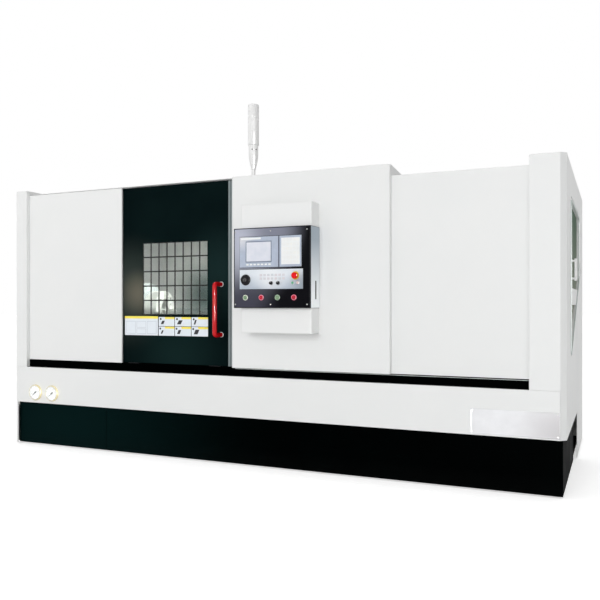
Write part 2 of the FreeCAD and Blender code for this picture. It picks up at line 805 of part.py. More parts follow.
def make_carriage():
    x0 = saddle_x
    x1 = saddle_x + saddle_length
    saddle = slant_box(x0, x1, saddle_low, saddle_high, saddle_bottom, saddle_top)
    parts = [slant_box(x, x + way_width, saddle_low, saddle_high, saddle_top - 1, saddle_top + way_height)
             for x in (x0 + 30, x1 - 30 - way_width)]
    for line in carriage_rails:
        for x in (x0 + 10, x1 - 10 - block_length):
            parts.append(slant_box(x, x + block_length, line - block_width / 2, line + block_width / 2,
                                   6, saddle_bottom + 1))
    nut = slant_box(x0 + 120, x0 + 200, screw_line - 35, screw_line + 35, -screw_depth - 26,
                    saddle_bottom + 1)
    middle = (x0 + x1) / 2
    half = feed_motor_size / 2
    mount = slant_box(middle - half, middle + half, saddle_high - 30, saddle_high + 16,
                      saddle_bottom, saddle_top + 40)
    can = slant_box(middle - half + 8, middle + half - 8, saddle_high + 10, saddle_high + feed_motor_length,
                    saddle_bottom + 6, saddle_bottom + feed_motor_size - 6)
    carriage = joined(saddle, nut, mount, can, *parts)
    slots = [slant_box(x0 - 1, x1 + 1, line - rail_width / 2 - seat_gap, line + rail_width / 2 + seat_gap,
                       0, rail_height + seat_gap) for line in carriage_rails]
    bore_radius = sided_bore(screw_radius + seat_gap, control_sides)
    hole = sided_x([(x0 + 110, bore_radius), (x0 + 210, bore_radius)], screw_y, screw_z, control_sides)
    save("carriage", without(carriage, hole, *slots))


def make_cross_slide():
    x0 = saddle_x
    x1 = saddle_x + saddle_length
    slab = slant_box(x0 + 4, x1 - 4, slide_low, slide_high, saddle_top + slide_gap, slide_top)
    grooves = [slant_box(x - slide_gap, x + way_width + slide_gap, slide_low - 1, slide_high + 1,
                         saddle_top, saddle_top + way_height + slide_gap)
               for x in (x0 + 30, x1 - 30 - way_width)]
    motor_notch = slant_box((x0 + x1 - feed_motor_size) / 2 - 2, (x0 + x1 + feed_motor_size) / 2 + 2,
                            saddle_high - 32, slide_high + 1, saddle_top, saddle_top + 42)
    save("cross_slide", without(slab, motor_notch, *grooves))
    shoulder = turret_radius * 0.45
    top = axis_height + turret_radius
    body = slant_prism([(turret_line - turret_radius, slide_top), (slide_high - 4, slide_top),
                        (slide_high - 4, slide_top + 50),
                        (turret_line + turret_radius, axis_height - shoulder),
                        (turret_line + turret_radius, axis_height + shoulder),
                        (turret_line + shoulder, top), (turret_line - shoulder, top),
                        (turret_line - turret_radius, axis_height + shoulder)], x0 - 10, x1 - 40)
    cover = slant_box(x1 - 41, x1 - 10, turret_line - shoulder - 20, turret_line + shoulder + 20,
                      axis_height - shoulder - 20, axis_height + shoulder + 20)
    bore = rod_x(x0 - 11, x0 + 70, turret_y, turret_z, hub_radius + running_gap)
    save("turret_body", without(joined(body, cover), bore))


disc_x1 = saddle_x - 10 - disc_gap
disc_x0 = disc_x1 - disc_thickness


def around_turret(shape, turn):
    turned_copy = shape.copy()
    turned_copy.rotate(Vector(0, turret_y, turret_z), Vector(1, 0, 0), turn)
    return turned_copy


def make_turret_disc():
    step = 360 / station_count
    corner = disc_flat / math.cos(math.radians(step / 2))

    def octagon(reach):
        turns = [math.radians(step * (index + 0.5)) for index in range(station_count)]
        return [(turret_y + reach * math.sin(turn), turret_z + reach * math.cos(turn)) for turn in turns]
    disc = prism_x(octagon(corner), disc_x0, disc_x1)
    hub = rod_x(disc_x1 - 1, saddle_x + 60, turret_y, turret_z, hub_radius)
    boss = prism_x(octagon(corner * 0.45), disc_x0 - 14, disc_x0 + 1)
    save("turret_disc", joined(disc, hub, boss))
    holders = []
    base = turret_z + disc_flat
    block = box(disc_x0 - 12, disc_x0 + holder_length, turret_y - holder_half, turret_y + holder_half,
                base, base + holder_height)
    notch = box(disc_x0 - 13, disc_x0 + 22, turret_y + 8, turret_y + holder_half + 1, base - 1,
                base + holder_height + 1)
    shank = box(disc_x0 - 50, disc_x0 + 22 - 1, turret_y + 8, turret_y + 8 + shank_size,
                base + 2, base + 2 + shank_size)
    tip = prism([Vector(disc_x0 - 50, turret_y + 8, base + 2), Vector(disc_x0 - 20, turret_y + 8, base + 2),
                 Vector(disc_x0 - 38, turret_y + 8, turret_z + tool_radius),
                 Vector(disc_x0 - 50, turret_y + 8, turret_z + tool_radius)], Vector(0, shank_size * 0.6, 0))
    holder = joined(without(block, notch), shank, tip)
    for index in range(station_count):
        holders.append(around_turret(holder, step * index))
    save("tool_holders", *holders)


# ---- tailstock ----
def make_tailstock():
    x0 = tailstock_x
    x1 = tailstock_x + tailstock_length
    low, high = tailstock_rails
    left = low - block_width / 2
    right = high + block_width / 2
    body = slant_prism([(left, saddle_bottom), (right, saddle_bottom), (right, saddle_bottom + 50),
                        (barrel_radius - 10, axis_height - 40), (-barrel_radius + 12, axis_height + 48),
                        (low * 0.85, saddle_bottom + 80), (left, saddle_bottom + 45)], x0, x1)
    parts = [sided_x([(x0, barrel_radius), (x1, barrel_radius)], spindle_y, spindle_z, wheel_sides)]
    for line in tailstock_rails:
        for x in (x0 + 10, x1 - 10 - block_length):
            parts.append(slant_box(x, x + block_length, line - block_width / 2, line + block_width / 2,
                                   6, saddle_bottom + 1))
    slots = [slant_box(x0 - 1, x1 + 1, line - rail_width / 2 - seat_gap, line + rail_width / 2 + seat_gap,
                       0, rail_height + seat_gap) for line in tailstock_rails]
    bore = rod_x(x0 - 1, x1 + 1, spindle_y, spindle_z, quill_radius + running_gap)
    save("tailstock", without(joined(body, *parts), bore, *slots))
    quill_x0 = x0 - quill_out
    quill = sided_x([(quill_x0, quill_radius), (quill_x0 + quill_length, quill_radius)], spindle_y, spindle_z,
                    wheel_sides)
    socket = rod_x(quill_x0 - 1, quill_x0 + centre_shank_length + 5, spindle_y, spindle_z,
                   centre_shank + running_gap)
    save("quill", without(quill, socket))
    body_x1 = quill_x0 - seat_gap
    tip_x = body_x1 - centre_length
    cone = centre_body / math.tan(math.radians(30))
    save("live_centre", sided_x([(tip_x, 0.2), (tip_x + cone, centre_body), (body_x1, centre_body),
                                 (body_x1, centre_shank), (body_x1 + centre_shank_length, centre_shank)],
                                spindle_y, spindle_z, gauge_sides))


# ---- sheet covers ----
def end_cover(width, height, slope_front):
    # the left end cover, built with its outer side on x = 0; the right one is its mirror image
    path = [(width, panel_y + sheet), (width, front_y), (corner_bevel, front_y), (0, front_y + corner_bevel),
            (0, rear_y), (cover_return, rear_y)]
    wall = prism_z(folded(path, -sheet), floor_gap, height)
    lid = prism_z(path[1:5] + [(width, rear_y)], height - sheet, height)
    top = roof_front_height if slope_front else roof_height
    edge = [(front_y, height - 1), (rear_y, height - 1), (rear_y, roof_height + joint_gap),
            (panel_y + roof_slope_depth, roof_height + joint_gap), (panel_y, top + joint_gap),
            (front_y, top + joint_gap)]
    inner = prism_x(edge, width - sheet, width)
    return joined(wall, lid, inner)


def end_door_outline(grow):
    # the side opening, seen from the side: upright ends, level top, lower edge parallel to the bed
    lean = (end_door_rear_low - end_door_front_low) / (end_door_rear - end_door_front)
    spread = math.hypot(1, lean)
    front = end_door_front - grow
    rear = end_door_rear + grow

    def low_edge(depth):
        return end_door_front_low + lean * (depth - end_door_front) - grow * spread
    return [(front_y + front, low_edge(front)), (front_y + front, end_door_top + grow),
            (front_y + rear, end_door_top + grow), (front_y + rear, low_edge(rear))]


end_hinge_x = right_x + hinge_offset
end_hinge_y = front_y + end_door_rear + end_door_gap / 2
end_hinge_heights = [end_door_top - drop for drop in end_hinge_drops]
cabinet_x0 = left_x + cabinet_left
cabinet_x1 = cabinet_x0 + cabinet_width
cabinet_hinge_x = cabinet_x0 - 24.0
cabinet_hinge_y = rear_y + hinge_offset
cabinet_top = cabinet_bottom + cabinet_height
cabinet_hinge_heights = (cabinet_bottom + lower_hinge_rise, cabinet_top - upper_hinge_drop)


def fixed_hinge(x, y, z):
    # lower half of a lift-off hinge, with the pin that the door's half drops over
    knuckle = sided_z([(z, hinge_radius), (z + hinge_length, hinge_radius)], x, y, hinge_sides)
    return joined(knuckle, rod_z(z + hinge_length - 1, z + 2 * hinge_length - 2, x, y, hinge_pin))


def door_hinge(x, y, z):
    return sided_z([(z + hinge_length + 0.5, hinge_radius), (z + 2 * hinge_length, hinge_radius)],
                   x, y, hinge_sides)


def hinge_bore(x, y, z):
    radius = sided_bore(hinge_pin + running_gap, hinge_sides)
    return sided_z([(z + hinge_length - 1, radius), (z + 2 * hinge_length - 1, radius)], x, y, hinge_sides)


def make_end_covers():
    left = end_cover(left_cover_width, left_cover_height, True)
    left.translate(Vector(left_x, 0, 0))
    left = without(left, box(left_x + floor_strip, left_x + left_cover_width + 1, front_y - 1,
                             panel_y + sheet + 1, 0, slot_bottom + joint_gap))
    save("left_end_cover", left)
    right = end_cover(right_cover_width, right_cover_height, False).mirror(Vector(0, 0, 0), Vector(1, 0, 0))
    right.translate(Vector(right_x, 0, 0))
    front_cut = box(right_cover_x - 1, right_x - corner_bevel, front_y - 1, panel_y + sheet + 1,
                    0, slot_bottom + joint_gap)
    base_cut = box(right_cover_x - 1, right_x + 1, front_y - 1, front_y + skirt_cutback,
                   0, base_height)
    opening = rounded_prism_x(end_door_outline(0), end_door_corner, right_x - 60, right_x + 60)
    right = without(right, front_cut, base_cut, opening)
    barrels = []
    for z in end_hinge_heights:
        barrels.append(fixed_hinge(end_hinge_x, end_hinge_y, z))
        barrels.append(box(right_x - sheet / 2, end_hinge_x + 1, end_hinge_y + 4, end_hinge_y + 30,
                           z, z + hinge_length))
    save("right_end_cover", joined(right, *barrels))


def make_front_panels():
    left_path = [(left_panel_x + joint_gap, panel_y + panel_return), (left_panel_x + joint_gap, panel_y),
                 (doorway_x, panel_y), (doorway_x, panel_y + panel_return)]
    save("left_front_panel", prism_z(folded(left_path, sheet), slot_top, panel_top))
    middle_return = panel_y + sheet
    middle_path = [(middle_x, middle_return), (middle_x, middle_y), (right_panel_x, middle_y),
                   (right_panel_x, middle_return)]
    shell = prism_z(folded(middle_path, sheet), slot_top, roof_front_height)
    shell = without(shell, box(middle_x - 1, right_panel_x + 1, panel_y - joint_gap, middle_return + 1,
                               panel_top, roof_front_height + 1))
    lid = box(middle_x, right_panel_x, middle_y, panel_y - joint_gap,
              roof_front_height - sheet, roof_front_height)
    save("middle_front_cover", joined(shell, lid))
    right_path = [(panel_y + 2 * panel_return, slot_top), (panel_y, slot_top), (panel_y, roof_height),
                  (rear_y - sheet - joint_gap, roof_height)]
    save("right_front_panel", prism_x(folded(right_path, -sheet), right_panel_x + joint_gap,
                                      right_cover_x - joint_gap))


def roof_line(y):
    # height of the left roof's outer face
    share = min(max((y - panel_y) / roof_slope_depth, 0), 1)
    return roof_front_height + share * (roof_height - roof_front_height)


guide_y = door_y + door_thickness + slide_block_width / 2 + 3


def make_left_roof():
    x0 = left_panel_x + joint_gap
    path = [(panel_y, roof_front_height), (panel_y + roof_slope_depth, roof_height),
            (rear_y - sheet - joint_gap, roof_height)]
    roof = prism_x(folded(path, -sheet), x0, right_panel_x)
    gusset = prism_x([(panel_y + 2, roof_height - sheet), (panel_y + 2, roof_line(panel_y + 2) - 1),
                      (panel_y + roof_slope_depth, roof_height - 1),
                      (panel_y + roof_slope_depth, roof_height - sheet)],
                      right_panel_x - sheet, right_panel_x)
    middle_notch = box(x0 - 1, right_panel_x + 1, panel_y - 1, panel_y + sheet + joint_gap,
                       roof_height - sheet - 1, panel_top + joint_gap)
    rail = box(x0 + 2, middle_x, guide_y - guide_width / 2, guide_y + guide_width / 2,
               roof_line(guide_y) - sheet - guide_height, roof_line(guide_y) - sheet / 2)
    save("left_roof", joined(roof, without(gusset, middle_notch), rail))


def make_rear_cover():
    # two folded side panels, a strip over and under the cabinet, and the cabinet's welded box
    x0 = left_x + cover_return + joint_gap
    x1 = right_x - cover_return - joint_gap
    top = roof_height - joint_gap
    left_path = [(x0, rear_y - rear_return), (x0, rear_y), (cabinet_x0, rear_y)]
    left = prism_z(folded(left_path, -sheet), floor_gap, top)
    right_path = [(cabinet_x1, rear_y), (x1, rear_y), (x1, rear_y - rear_return)]
    right = prism_z(folded(right_path, -sheet), floor_gap, top)
    louvres = []
    for index in range(louvre_count):
        z = cabinet_bottom + louvre_rise + index * louvre_pitch
        louvres.append(box(cabinet_x1 + louvre_inset, cabinet_x1 + louvre_inset + louvre_width,
                           rear_y - sheet - 1, rear_y + 1, z, z + louvre_height))
    right = without(right, *louvres)
    back = rear_y - cabinet_recess
    inner = rear_y - sheet
    plates = [box(cabinet_x0 + joint_gap, cabinet_x1 - joint_gap, inner, rear_y, floor_gap, cabinet_bottom),
              box(cabinet_x0 + joint_gap, cabinet_x1 - joint_gap, inner, rear_y, cabinet_top, top),
              box(cabinet_x0 - sheet, cabinet_x0, back, inner, cabinet_bottom - sheet, cabinet_top + sheet),
              box(cabinet_x1, cabinet_x1 + sheet, back, inner, cabinet_bottom - sheet, cabinet_top + sheet),
              box(cabinet_x0, cabinet_x1, back, inner, cabinet_bottom - sheet, cabinet_bottom),
              box(cabinet_x0, cabinet_x1, back, inner, cabinet_top, cabinet_top + sheet),
              box(cabinet_x0, cabinet_x1, back, back + sheet, cabinet_bottom, cabinet_top)]
    barrels = []
    for z in cabinet_hinge_heights:
        barrels.append(fixed_hinge(cabinet_hinge_x, cabinet_hinge_y, z))
        barrels.append(box(cabinet_hinge_x - 24, cabinet_hinge_x - 4, rear_y - sheet / 2,
                           cabinet_hinge_y + 1, z, z + hinge_length))
    save("rear_cover", joined(left, *barrels), right, *plates)
    drives = []
    pitch = cabinet_width / drive_count
    seat = back + sheet
    low = cabinet_bottom + drive_rise
    for index in range(drive_count):
        x = cabinet_x0 + (index + 0.5) * pitch - drive_width / 2
        nose = [(seat, low), (seat + drive_depth - drive_nose, low), (seat + drive_depth, low + drive_nose),
                (seat + drive_depth, low + drive_height), (seat, low + drive_height)]
        drives.append(prism_x(nose, x, x + drive_width))
    save("servo_drives", *drives)


def make_cabinet_door():
    margin = 16
    y0 = rear_y + cabinet_door_gap
    y1 = y0 + cabinet_door_thickness
    z0 = cabinet_bottom - margin
    z1 = cabinet_top + margin
    door = box(cabinet_x0 - margin, cabinet_x1 + margin, y0, y1, z0, z1)
    tray = box(cabinet_x0 - margin + sheet, cabinet_x1 + margin - sheet, y0 - 1, y1 - sheet,
               z0 + sheet, z1 - sheet)
    parts = []
    for z in cabinet_hinge_heights:
        parts.append(door_hinge(cabinet_hinge_x, cabinet_hinge_y, z))
        parts.append(box(cabinet_hinge_x + 4, cabinet_x0 - margin + 1, cabinet_hinge_y - 4,
                         cabinet_hinge_y + 4, z + hinge_length + 0.5, z + 2 * hinge_length))
    latch_z = cabinet_bottom + cabinet_height / 2
    latch = box(cabinet_x1 - 40, cabinet_x1 - 10, y1 - 1, y1 + latch_reach, latch_z - 75, latch_z + 75)
    door = joined(without(door, tray), latch, *parts)
    bores = [hinge_bore(cabinet_hinge_x, cabinet_hinge_y, z) for z in cabinet_hinge_heights]
    save("cabinet_door", without(door, *bores))


def make_apron_and_slot():
    x0 = left_x + floor_strip + joint_gap
    x1 = right_x - corner_bevel - joint_gap
    low = base_height
    path = [(slot_back_y, slot_bottom), (front_y, slot_bottom), (front_y, low), (front_y + apron_hem, low)]
    apron = prism_x(folded(path, sheet), x0, x1)
    hole_radius = gauge_body_radius + joint_gap
    holes = [sided_y([(front_y - 1, hole_radius), (front_y + sheet + 1, hole_radius)], x, gauge_height,
                     gauge_sides) for x in gauge_places]
    side_clear = box(x0 - 1, left_x + left_cover_width, panel_y + 4, slot_back_y + 1,
                     slot_bottom - sheet - 1, slot_bottom + 1)
    save("lower_apron", without(apron, side_clear, *holes))
    slot_x0 = left_panel_x + joint_gap
    slot_x1 = right_cover_x - joint_gap
    floor = slot_bottom
    path = [(front_y + channel_setback, floor), (slot_back_y, floor), (slot_back_y, slot_top + channel_rise)]
    channel = prism_x(folded(path, sheet), slot_x0, slot_x1)
    track_y = door_y + door_thickness / 2 - track_shift
    track = box(slot_x0 + sheet - 1, middle_x, track_y - guide_width / 2, track_y + guide_width / 2,
                floor + sheet - 1, floor + sheet + guide_height)
    edge = slot_top - guard_drop
    guard_y = door_y - guard_gap
    guard = box(slot_x0, slot_x1, guard_y - sheet, guard_y, floor + sheet - 1, edge)
    ends = [box(x, x + sheet, panel_y, slot_back_y - 1, floor + sheet - 1, edge)
            for x in (slot_x0, slot_x1 - sheet)]
    save("slot_channel", joined(channel, track, guard, *ends))


# ---- sliding door ----
door_right_x = middle_x - strip_width + strip_overlap - joint_gap
window_x0 = door_x + window_left
window_x1 = window_x0 + window_width
window_z1 = window_bottom + window_height


def make_door():
    door = box(door_x, door_right_x, door_y, door_y + door_thickness, door_bottom, door_top)
    tray = box(door_x + sheet, door_right_x - sheet, door_y + sheet, door_y + door_thickness + 1,
               door_bottom + sheet, door_top - sheet)
    window = box(window_x0, window_x1, door_y - 1, door_y + door_thickness, window_bottom, window_z1)
    rims = [box(door_x + 90, door_x + 90 + sheet, door_y + 1, door_y + door_thickness, door_bottom + 1,
                door_top - 1),
            box(door_right_x - 110, door_right_x - 110 + sheet, door_y + 1, door_y + door_thickness,
                door_bottom + 1, door_top - 1)]
    save("door_panel", joined(without(door, tray, window), *rims))
    glass_x0 = window_x0 - glass_margin
    glass_x1 = window_x1 + glass_margin
    glass_z0 = window_bottom - glass_margin
    glass_z1 = window_z1 + glass_margin
    glass_y = door_y + sheet
    save("door_glass", box(glass_x0, glass_x1, glass_y, glass_y + glass_thickness, glass_z0, glass_z1))
    grid_y = glass_y + glass_thickness
    grid = box(glass_x0, glass_x1, grid_y, grid_y + grid_thickness, glass_z0, glass_z1)
    cell_x = window_width / grid_columns
    cell_z = window_height / grid_rows
    panes = []
    for column in range(grid_columns):
        for row in range(grid_rows):
            x = window_x0 + column * cell_x + grid_bar / 2
            z = window_bottom + row * cell_z + grid_bar / 2
            panes.append(box(x, x + cell_x - grid_bar, grid_y - 1, grid_y + grid_thickness + 1,
                             z, z + cell_z - grid_bar))
    save("window_grid", without(grid, *panes))


def make_door_handle():
    x = door_right_x - handle_from_strip
    out = door_y - handle_reach
    bend = handle_bend
    route = [(door_y - washer, handle_low), (out + bend, handle_low), (out, handle_low + bend),
             (out, handle_high - bend), (out + bend, handle_high), (door_y - washer, handle_high)]
    path = Part.makePolygon([Vector(x, y, z) for y, z in route])
    ring = ring_points(Vector(x, route[0][0], handle_low), Vector(0, 1, 0), Vector(0, 0, 1), handle_radius,
                       handle_sides)
    ring = Part.makePolygon(ring + ring[:1])
    tube = path.makePipeShell([ring], True, False, 1)
    flange = handle_radius + 3
    feet = [sided_y([(door_y - washer, flange), (door_y, flange)], x, z, handle_sides)
            for z in (handle_low, handle_high)]
    save("door_handle", joined(tube, *feet))


def make_door_strip():
    x0 = door_right_x
    x1 = x0 + strip_width
    y0 = door_y - 2
    y1 = door_y + door_thickness
    section = [(x0, y0 + 2), (x0 + 4, y0), (x0 + 14, y0), (x0 + 17, y0 + 4), (x0 + 21, y0 + 4), (x0 + 24, y0),
               (x0 + 34, y0), (x0 + 38, y0 + 4), (x1 - 3, y0 + 4), (x1, y0 + 7), (x1, y1 - 4),
               (x1 - 4, y1), (x0, y1)]
    save("door_strip", prism_z(section, door_bottom, door_top))


def make_door_slides():
    half = slide_block_width / 2
    inner = guide_width / 2 + joint_gap
    blocks = []
    rail_low = roof_line(guide_y) - sheet - guide_height
    track_y = door_y + door_thickness / 2 - track_shift
    track_high = slot_bottom + sheet + guide_height
    for x in (door_x + 60, door_right_x - 60 - slide_block_length):
        upper = box(x, x + slide_block_length, guide_y - half - 3, guide_y + half,
                    rail_low - slide_block_height * 0.5, rail_low + slide_block_height * 0.4)
        groove = box(x - 1, x + slide_block_length + 1, guide_y - inner, guide_y + inner,
                     rail_low - seat_gap, rail_low + slide_block_height)
        blocks.append(without(upper, groove))
        lower = box(x, x + slide_block_length, track_y - half + 1, door_y + door_thickness,
                    track_high - 14, door_bottom)
        groove = box(x - 1, x + slide_block_length + 1, track_y - inner, track_y + inner,
                     track_high - 15, track_high + seat_gap)
        blocks.append(without(lower, groove))
    save("door_slides", *blocks)


# ---- console ----
box_x0 = middle_x + console_box_left
box_x1 = box_x0 + console_box_width
box_y = middle_y - console_box_reach
housing_x0 = box_x0 - housing_overhang
housing_x1 = box_x1 + sheet + joint_gap
housing_y = box_y - housing_reach
housing_top = housing_bottom + housing_height
unit_x0 = housing_x0 + unit_left
panel_front = housing_y - unit_flange
stop_x = unit_x0 + operator_width - stop_from_right
stop_z = operator_bottom + stop_rise
wheel_x = unit_x0 + wheel_from_left
wheel_z = operator_bottom + wheel_rise
knob_places = (unit_x0 + knob_from_left, unit_x0 + knob_from_left + knob_spacing)
knob_z = operator_bottom + knob_rise
small_places = (unit_x0 + small_from_left, unit_x0 + small_from_left + small_spacing)
small_z = operator_bottom + knob_rise
button_x0 = unit_x0 + button_from_left
button_places = [button_x0 + index * button_spacing for index in range(4)]
stem_radius = 5.0
stem_depth = 12.0


def make_console_box():
    shell = box(box_x0, box_x1, box_y, middle_y, console_box_bottom, console_box_bottom + console_box_height)
    edges = [edge for edge in shell.Edges
             if abs(edge.tangentAt(edge.FirstParameter).z) > 0.9 and edge.CenterOfMass.y < box_y + 1]
    shell = shell.makeFillet(6, edges)
    inner = box(box_x0 + sheet, box_x1 - sheet, box_y + sheet, middle_y + 1,
                console_box_bottom + sheet, console_box_bottom + console_box_height - sheet)
    save("console_box", without(shell, inner))


def make_console_housing():
    shell = box(housing_x0, housing_x1, housing_y, box_y, housing_bottom, housing_top)
    edges = [edge for edge in shell.Edges
             if abs(edge.tangentAt(edge.FirstParameter).z) > 0.9 and edge.CenterOfMass.y < housing_y + 1]
    shell = shell.makeFillet(housing_bevel, edges)
    inner = box(housing_x0 + sheet, housing_x1 - sheet, housing_y + sheet, box_y + 1,
                housing_bottom + sheet, housing_top - sheet)
    side = box(box_x1 + joint_gap, housing_x1, box_y - 2, middle_y - joint_gap, housing_bottom, housing_top)
    housing = joined(without(shell, inner), side)
    slot = box(housing_x1 - sheet - 1, housing_x1 + 1, middle_y - 60, middle_y - 60 + side_slot_width,
               housing_bottom + 56, housing_bottom + 56 + side_slot_height)
    unit_hole = box(unit_x0 + 8, unit_x0 + unit_width - 8, housing_y - 1, housing_y + sheet + 1,
                    unit_bottom + 8, unit_bottom + unit_height - 8)
    operator_hole = box(unit_x0 + 8, unit_x0 + operator_width - 8, housing_y - 1, housing_y + sheet + 1,
                        operator_bottom + 8, operator_bottom + operator_height - 8)
    bore_radius = sided_bore(button_radius + slide_gap, bore_sides)
    bores = [sided_y([(housing_y - 1, bore_radius), (housing_y + sheet + 1, bore_radius)], x, button_height,
                     bore_sides) for x in button_places]
    save("console_housing", without(housing, slot, unit_hole, operator_hole, *bores))


def key_rows(x0, z0, columns, rows, pitch_x, pitch_z, width, height, rise):
    keys = []
    for column in range(columns):
        for row in range(rows):
            x = x0 + column * pitch_x
            z = z0 + row * pitch_z
            keys.append(box(x, x + width, panel_front - rise, panel_front + 1, z, z + height))
    return keys


def make_units():
    flange = box(unit_x0, unit_x0 + unit_width, panel_front, housing_y,
                 unit_bottom, unit_bottom + unit_height)
    body = box(unit_x0 + 8 + slide_gap, unit_x0 + unit_width - 8 - slide_gap, housing_y - 1,
               housing_y + unit_body, unit_bottom + 8 + slide_gap, unit_bottom + unit_height - 8 - slide_gap)
    screen = box(unit_x0 + 42, unit_x0 + 42 + screen_width, panel_front - 1, panel_front + 2,
                 unit_bottom + 31, unit_bottom + 31 + screen_height)
    divider = box(unit_x0 + 270, unit_x0 + 280, panel_front - 1, panel_front + 2,
                  unit_bottom - 1, unit_bottom + unit_height + 1)
    soft_keys = key_rows(unit_x0 + 48, unit_bottom + 13, 7, 1, 26, 1, 16, 9, 1.5)
    keypad = key_rows(unit_x0 + keypad_from_left, unit_bottom + 22, 5, 6, 25, 27, 17, 17, 1.5)
    save("control_unit", joined(without(joined(flange, body), screen, divider), *(soft_keys + keypad)))
    flange = box(unit_x0, unit_x0 + operator_width, panel_front, housing_y, operator_bottom,
                 operator_bottom + operator_height)
    body = box(unit_x0 + 8 + slide_gap, unit_x0 + operator_width - 8 - slide_gap, housing_y - 1,
               housing_y + unit_body, operator_bottom + 8 + slide_gap,
               operator_bottom + operator_height - 8 - slide_gap)
    stop_plate = sided_y([(panel_front - stop_plate_rise, stop_plate_radius),
                          (panel_front + 1, stop_plate_radius)], stop_x, stop_z, control_sides)
    keys = key_rows(unit_x0 + 143, operator_bottom + 58, 7, 2, 26, 22, 17, 14, 1.5)
    bore_radius = sided_bore(stem_radius + running_gap, bore_sides)
    bores = [sided_y([(panel_front - 2, bore_radius), (housing_y + unit_body + 1, bore_radius)], x, z,
                     bore_sides)
             for x, z in [(stop_x, stop_z)] + [(x, small_z) for x in small_places]]
    bores += [rod_y(panel_front - 1, housing_y + unit_body + 1, x, z, stem_radius + running_gap)
              for x, z in [(wheel_x, wheel_z)] + [(x, knob_z) for x in knob_places]]
    save("operator_panel", without(joined(flange, body, stop_plate, *keys), *bores))


def make_controls():
    face = panel_front - seat_gap
    rim = face - handwheel_thickness
    stem = [(face, stem_radius), (face + stem_depth, stem_radius)]
    grip = [(rim, handwheel_radius - 3), (rim + 3, handwheel_radius), (face, handwheel_radius)]
    wheel = sided_y(grip + stem, wheel_x, wheel_z, control_sides)
    crank_x = wheel_x - handwheel_radius * 0.55
    crank = sided_y([(rim - crank_length, crank_radius), (rim + 1, crank_radius)], crank_x, wheel_z + 4,
                    hinge_sides)
    save("handwheel", joined(wheel, crank))
    seat = panel_front - stop_plate_rise - stop_travel - seat_gap
    mushroom = [(seat - 18, stop_radius * 0.7), (seat - 13, stop_radius), (seat, stop_radius),
                (seat, stem_radius), (seat + stop_travel + stem_depth, stem_radius)]
    save("emergency_stop", sided_y(mushroom, stop_x, stop_z, control_sides))
    proud = housing_y - button_travel - 6
    for index, x in enumerate(button_places):
        save("push_button_" + str(index + 1),
             sided_y([(proud, button_radius), (housing_y + sheet + 6, button_radius)], x, button_height,
                     control_sides))
    for name, x in zip(("feed_knob", "speed_knob"), knob_places):
        knob = sided_y([(face - 15, knob_radius), (face, knob_radius)] + stem, x, knob_z, control_sides)
        ridge = box(x - 1.5, x + 1.5, face - 17, face - 14, knob_z - 2, knob_z + knob_radius - 3)
        save(name, joined(knob, ridge))
    for name, x in zip(("power_on_button", "power_off_button"), small_places):
        top = face - button_travel
        save(name, sided_y([(top - 4, small_button_radius), (top, small_button_radius), (top, stem_radius),
                            (top + stem_depth, stem_radius)], x, small_z, control_sides))


# ---- gauges and signal tower ----
def make_gauges():
    lip = front_y - gauge_reach
    dial = front_y - 5
    cases = []
    for name, x in zip(("left_pointer", "right_pointer"), gauge_places):
        case = sided_y([(lip, gauge_radius), (front_y, gauge_radius), (front_y, gauge_body_radius),
                        (front_y + gauge_body_depth, gauge_body_radius)], x, gauge_height, gauge_sides)
        well = sided_y([(lip - 1, gauge_body_radius), (dial, gauge_body_radius)], x, gauge_height,
                       gauge_sides)
        spigot = rod_y(dial - 5, dial + 1, x, gauge_height, spigot_radius)
        cases.append(joined(without(case, well), spigot))
        back = dial - seat_gap
        blade = [(-3, -14), (3, -14), (1, pointer_length), (-1, pointer_length)]
        needle = prism([Vector(x + across, back - 2, gauge_height + up) for across, up in blade],
                       Vector(0, 2, 0))
        hub = sided_y([(back - 3, 7), (back, 7)], x, gauge_height, hinge_sides)
        bore_radius = sided_bore(spigot_radius + running_gap, hinge_sides)
        bore = sided_y([(back - 4, bore_radius), (dial + 1, bore_radius)], x, gauge_height, hinge_sides)
        pointer = without(joined(needle, hub), bore)
        pointer.rotate(Vector(x, back, gauge_height), Vector(0, 1, 0), pointer_rest)
        save(name, pointer)
    save("gauge_cases", *cases)


def make_signal_tower():
    x = left_x + tower_left
    y = front_y + tower_depth
    top = roof_front_height + tower_rise
    roof = roof_line(y)
    tube = top - tower_tube_length
    collar = tube - tower_collar_length
    cone = collar - tower_cone_length
    lamp = sided_z([(roof - 20, tower_neck), (cone, tower_neck), (collar, tower_tube - 5),
                    (tube, tower_tube - 5), (tube, tower_tube), (top, tower_tube)], x, y, gauge_sides)
    under_roof = prism_x([(y - 100, roof_line(y - 100)), (y + 100, roof_line(y + 100)),
                          (y + 100, roof - 80), (y - 100, roof - 80)], x - 60, x + 60)
    save("signal_tower", without(lamp, under_roof))


